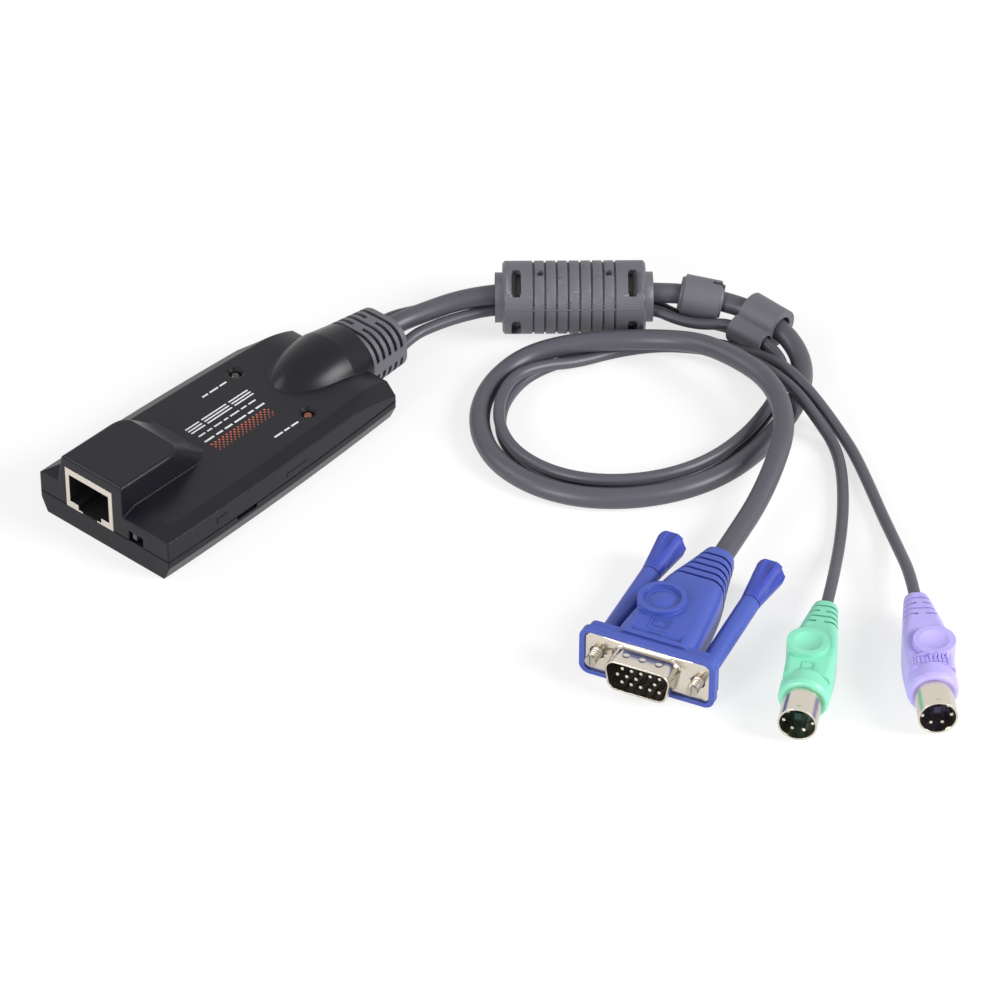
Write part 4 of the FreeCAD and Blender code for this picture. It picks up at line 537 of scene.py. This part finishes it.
cover = joined_copy("ferrite_cover_skin", "ferrite_cover")
for angle in SLOT_ANGLES:
    for along in (-SLOT_PLACE, SLOT_PLACE):
        cutter = new_mesh("slot_cutter")
        bpy.ops.mesh.primitive_cylinder_add(vertices=24, radius=SLOT_END_RADIUS * mm, depth=CUTTER_DEPTH * mm,
                                            location=(0, 0, (SLOT_FLOOR + CUTTER_DEPTH / 2) * mm))
        bpy.ops.mesh.select_mode(type="VERT")
        for side in (1, -1):
            bpy.ops.mesh.select_all(action="DESELECT")
            bpy.ops.object.mode_set(mode="OBJECT")
            for corner in cutter.data.vertices:
                corner.select = (corner.co.y > 0) == (side > 0)
            bpy.ops.object.mode_set(mode="EDIT")
            bpy.ops.transform.translate(value=(0, side * SLOT_HALF_STRAIGHT * mm, 0))
        set_in_ferrite(cutter, angle, along)
        apply_modifier(cover, "BOOLEAN", object=cutter, operation="DIFFERENCE", solver="EXACT")
        bpy.data.objects.remove(cutter)
smooth_moulding(cover)
finish_piece(cover, moulded_pvc, "adapter")
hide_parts("ferrite_cover")

for name, angle in (("ferrite_ridge_front", 180), ("ferrite_ridge_back", 0)):
    ridge = new_mesh(name)
    bpy.ops.mesh.primitive_cube_add(size=1, location=(0, 0, FERRITE_SKIN * mm))
    bpy.ops.transform.resize(value=Vector(RIDGE_SIZE) * mm)
    bpy.ops.mesh.bevel(offset=RIDGE_ROUNDING * mm, segments=2)
    set_in_ferrite(ridge, angle, 0)
    finish_piece(ridge, moulded_pvc, "adapter")

# ------------------------------------------------------------------ video plug
# A blue PVC hood moulded over the connector, with a nickel-plated D-shaped shell, plated pins in a dark
# insulator, and two thumbscrews whose threaded tips stand out of the flange.

# Moulded PVC: a clear satin blue, and the knobs are a harder, deeper blue. Nickel over steel: bright and warm,
# and it mirrors what is near. Glass-filled PBT: flat and almost black, so that the pins stand out.
blue_pvc = soft_surface("moulded_blue_pvc", "#3b4da0", 0.4, 0.35, 0.015, edge=0.25, specular=0.45)
knob_plastic = soft_surface("dark_blue_knob_plastic", "#2b3b9a", 0.36, 0.35, 0.015, edge=0.2)
nickel_plate = plated_metal("nickel_plated_steel", "#d3cbbd", 0.2, 3.0, edge=0.12)
coat(blue_pvc, "video_plug_hood")
coat(knob_plastic, "thumbscrew_left", "thumbscrew_right")
coat(soft_surface("navy_black_pbt_insulator", "#0b0b12", 0.4, 0.4, 0.008, specular=0.2), "video_plug_insulator")
coat(nickel_plate, "video_plug_pins")

# Each plug's place on the floor in millimetres, and its turn about the upright in degrees. Its own X runs out
# of its mating face. The video plug's axis lies VIDEO_PLUG_AXIS above the floor.
VIDEO_PLUG = (2.02, -129.47, 196.7)
VIDEO_PLUG_AXIS = 6.5


def set_down(piece, plug, height=0.0):
    """Moves a piece that was modelled in a plug's own plan to where that plug lies."""
    bpy.ops.object.mode_set(mode="OBJECT")
    piece.location = (plug[0] * mm, plug[1] * mm, height * mm)
    piece.rotation_euler.z = radians(plug[2])
    take(piece)
    bpy.ops.object.transform_apply()


def frame_bars(left, right, low, high, width):
    """The four bars of a rectangular outline."""
    return [(left, right, low, low + width), (left, right, high - width, high),
            (left, left + width, low + width, high - width), (right - width, right, low + width, high - width)]


ABOVE_THE_PLUG = 20.0
ICON_LIFT = 0.01
ICON_HEIGHT = 0.16


def raised_icon(name, bars, plug, node, material):
    """Lines of an icon that stand out of a plug's top, moulded with it."""
    icon = new_mesh(name)
    flat_bars(bars)
    bpy.ops.mesh.select_all(action="SELECT")
    bpy.ops.mesh.subdivide(number_cuts=2)
    set_down(icon, plug, ABOVE_THE_PLUG)
    drop_onto(icon, node, "z", ICON_LIFT)
    apply_modifier(icon, "SOLIDIFY", thickness=ICON_HEIGHT * mm, offset=1)
    finish_piece(icon, material, "adapter")


# A small screen with its stand.
screen_icon = frame_bars(-10.5, -6.4, -2.9, 2.1, 0.36) + frame_bars(-9.6, -7.3, -2.0, 1.2, 0.28)
raised_icon("video_plug_icon", screen_icon + [(-5.9, -5.5, -1.7, 0.9)], VIDEO_PLUG, "video_plug_hood", blue_pvc)

# Each screw's tip is short, with rolled threads and a slot, whose cutter is given by its length along the screw,
# its width and its height. Zinc over steel: greyer and duller than the shell.
THREADS = 4
THREAD_PITCH = 0.7
FIRST_THREAD = 0.5
GROOVE_MIDDLE_RADIUS = 1.5
GROOVE_RADIUS = 0.26
TIP_REACH = 3.7
TIP_SLOT = (0.8, 0.5, 4)
SCREW_OFFSET = 12.5
screw_steel = plated_metal("zinc_plated_screw_steel", "#b3aca0", 0.3, 3.0, edge=0.05)
plug_outward = Vector((cos(radians(VIDEO_PLUG[2])), sin(radians(VIDEO_PLUG[2])), 0))
tip_end = Vector((VIDEO_PLUG[0], VIDEO_PLUG[1], 0)) * mm + plug_outward * TIP_REACH * mm
for label, side in (("left", 1), ("right", -1)):
    tool = new_mesh("thread_cutter")
    axis = (side * SCREW_OFFSET * mm, VIDEO_PLUG_AXIS * mm)
    for turn in range(THREADS):
        bpy.ops.mesh.primitive_torus_add(
            major_radius=GROOVE_MIDDLE_RADIUS * mm, minor_radius=GROOVE_RADIUS * mm, major_segments=28,
            minor_segments=6, rotation=(0, radians(90), 0),
            location=((FIRST_THREAD + turn * THREAD_PITCH) * mm, *axis))
    bpy.ops.mesh.primitive_cube_add(size=1, location=(TIP_REACH * mm, *axis), scale=Vector(TIP_SLOT) * mm)
    set_down(tool, VIDEO_PLUG)
    screw = joined_copy(f"jackscrew_threads_{label}", f"jackscrew_{label}")
    bpy.ops.object.mode_set(mode="EDIT")
    bpy.ops.mesh.select_all(action="SELECT")
    bpy.ops.mesh.bisect(plane_co=tip_end, plane_no=plug_outward, use_fill=True, clear_outer=True)
    bpy.ops.object.mode_set(mode="OBJECT")
    apply_modifier(screw, "BOOLEAN", object=tool, operation="DIFFERENCE", solver="EXACT")
    bpy.data.objects.remove(tool)
    smooth_moulding(screw)
    finish_piece(screw, screw_steel, f"thumbscrew_{label}")
    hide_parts(f"jackscrew_{label}")


DIMPLE_RADIUS = 0.9


def dimpled_shell(name, node, places, plug, depth):
    """A thin plated shell with round dimples pressed into its top, in place of the plain one."""
    ball = (DIMPLE_RADIUS * DIMPLE_RADIUS + depth * depth) / (2 * depth)
    tool = new_mesh("dimple_punch")
    for along, across, top in places:
        bpy.ops.mesh.primitive_uv_sphere_add(segments=20, ring_count=12, radius=ball * mm,
                                             location=(along * mm, across * mm, (top + ball - depth) * mm))
    set_down(tool, plug)
    shell = joined_copy(name, node)
    apply_modifier(shell, "BOOLEAN", object=tool, operation="DIFFERENCE", solver="EXACT")
    bpy.data.objects.remove(tool)
    smooth_moulding(shell)
    finish_piece(shell, nickel_plate, "adapter")
    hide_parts(node)


# Three dimples across the top of the D.
SHELL_TOP = VIDEO_PLUG_AXIS + 4.18
dimpled_shell("video_plug_dimpled_shell", "video_plug_shell", [(2.9, across, SHELL_TOP) for across in (-4, 0, 4)],
              VIDEO_PLUG, depth=0.3)

# ------------------------------------------------------------------ mouse and keyboard plugs
# Round plugs in the usual two colours, each a soft PVC body moulded over a nickel-plated sleeve, with six pins,
# a key, and an insulator in its body's hue, darkened with the painted shade of the recess it sits in.

# Moulded PVC: pastel green and violet, satin and almost without texture. Glass-filled PBT: flat, and painted
# dark with the shade of its recess.
green_pvc = soft_surface("moulded_green_pvc", "#79c8a9", 0.42, 0.35, 0.015, edge=0.25)
violet_pvc = soft_surface("moulded_violet_pvc", "#a79cda", 0.42, 0.35, 0.015, edge=0.25)
coat(green_pvc, "mouse_plug_body")
coat(violet_pvc, "keyboard_plug_body")
# Each insulator's colour is its body's hue with the shade of the sleeve's recess painted in.
coat(soft_surface("green_insulator_painted_shade", "#14362a", 0.45, 0.4, 0.008, specular=0.3), "mouse_plug_insulator")
coat(soft_surface("violet_insulator_painted_shade", "#25223c", 0.45, 0.4, 0.008, specular=0.3), "keyboard_plug_insulator")
coat(nickel_plate, "mouse_plug_pins", "keyboard_plug_pins")

MOUSE_PLUG = (9.5, -167.1, 209.55)
KEYBOARD_PLUG = (32.2, -189.4, 224.38)
ICON_LINE = 0.3

# A small box with a bar across it and a short line between two buttons.
mouse_icon = frame_bars(-16.0, -12.4, -1.5, 1.5, ICON_LINE)
mouse_icon += [(-13.9, -13.6, -1.2, 1.2), (-13.6, -12.7, -0.15, 0.15)]
raised_icon("mouse_plug_icon", mouse_icon, MOUSE_PLUG, "mouse_plug_body", green_pvc)

# Three rows of seven keys in a frame.
KEY_ROWS = 3
KEYS_IN_A_ROW = 7
FIRST_KEY = (-15.35, -3.35)
KEY_PITCH = (0.98, 0.97)
KEY_SIZE = (0.7, 0.72)
keyboard_icon = frame_bars(-15.9, -12.3, -3.9, 3.9, ICON_LINE)
for row in range(KEY_ROWS):
    for column in range(KEYS_IN_A_ROW):
        key_x = FIRST_KEY[0] + row * KEY_PITCH[0]
        key_y = FIRST_KEY[1] + column * KEY_PITCH[1]
        keyboard_icon.append((key_x, key_x + KEY_SIZE[0], key_y, key_y + KEY_SIZE[1]))
raised_icon("keyboard_plug_icon", keyboard_icon, KEYBOARD_PLUG, "keyboard_plug_body", violet_pvc)

# One dimple on the top of each sleeve.
SLEEVE_DIMPLE = (-2.0, 0, 10.45)
for label, plug in (("mouse", MOUSE_PLUG), ("keyboard", KEYBOARD_PLUG)):
    dimpled_shell(f"{label}_plug_dimpled_shell", f"{label}_plug_shell", [SLEEVE_DIMPLE], plug, depth=0.28)
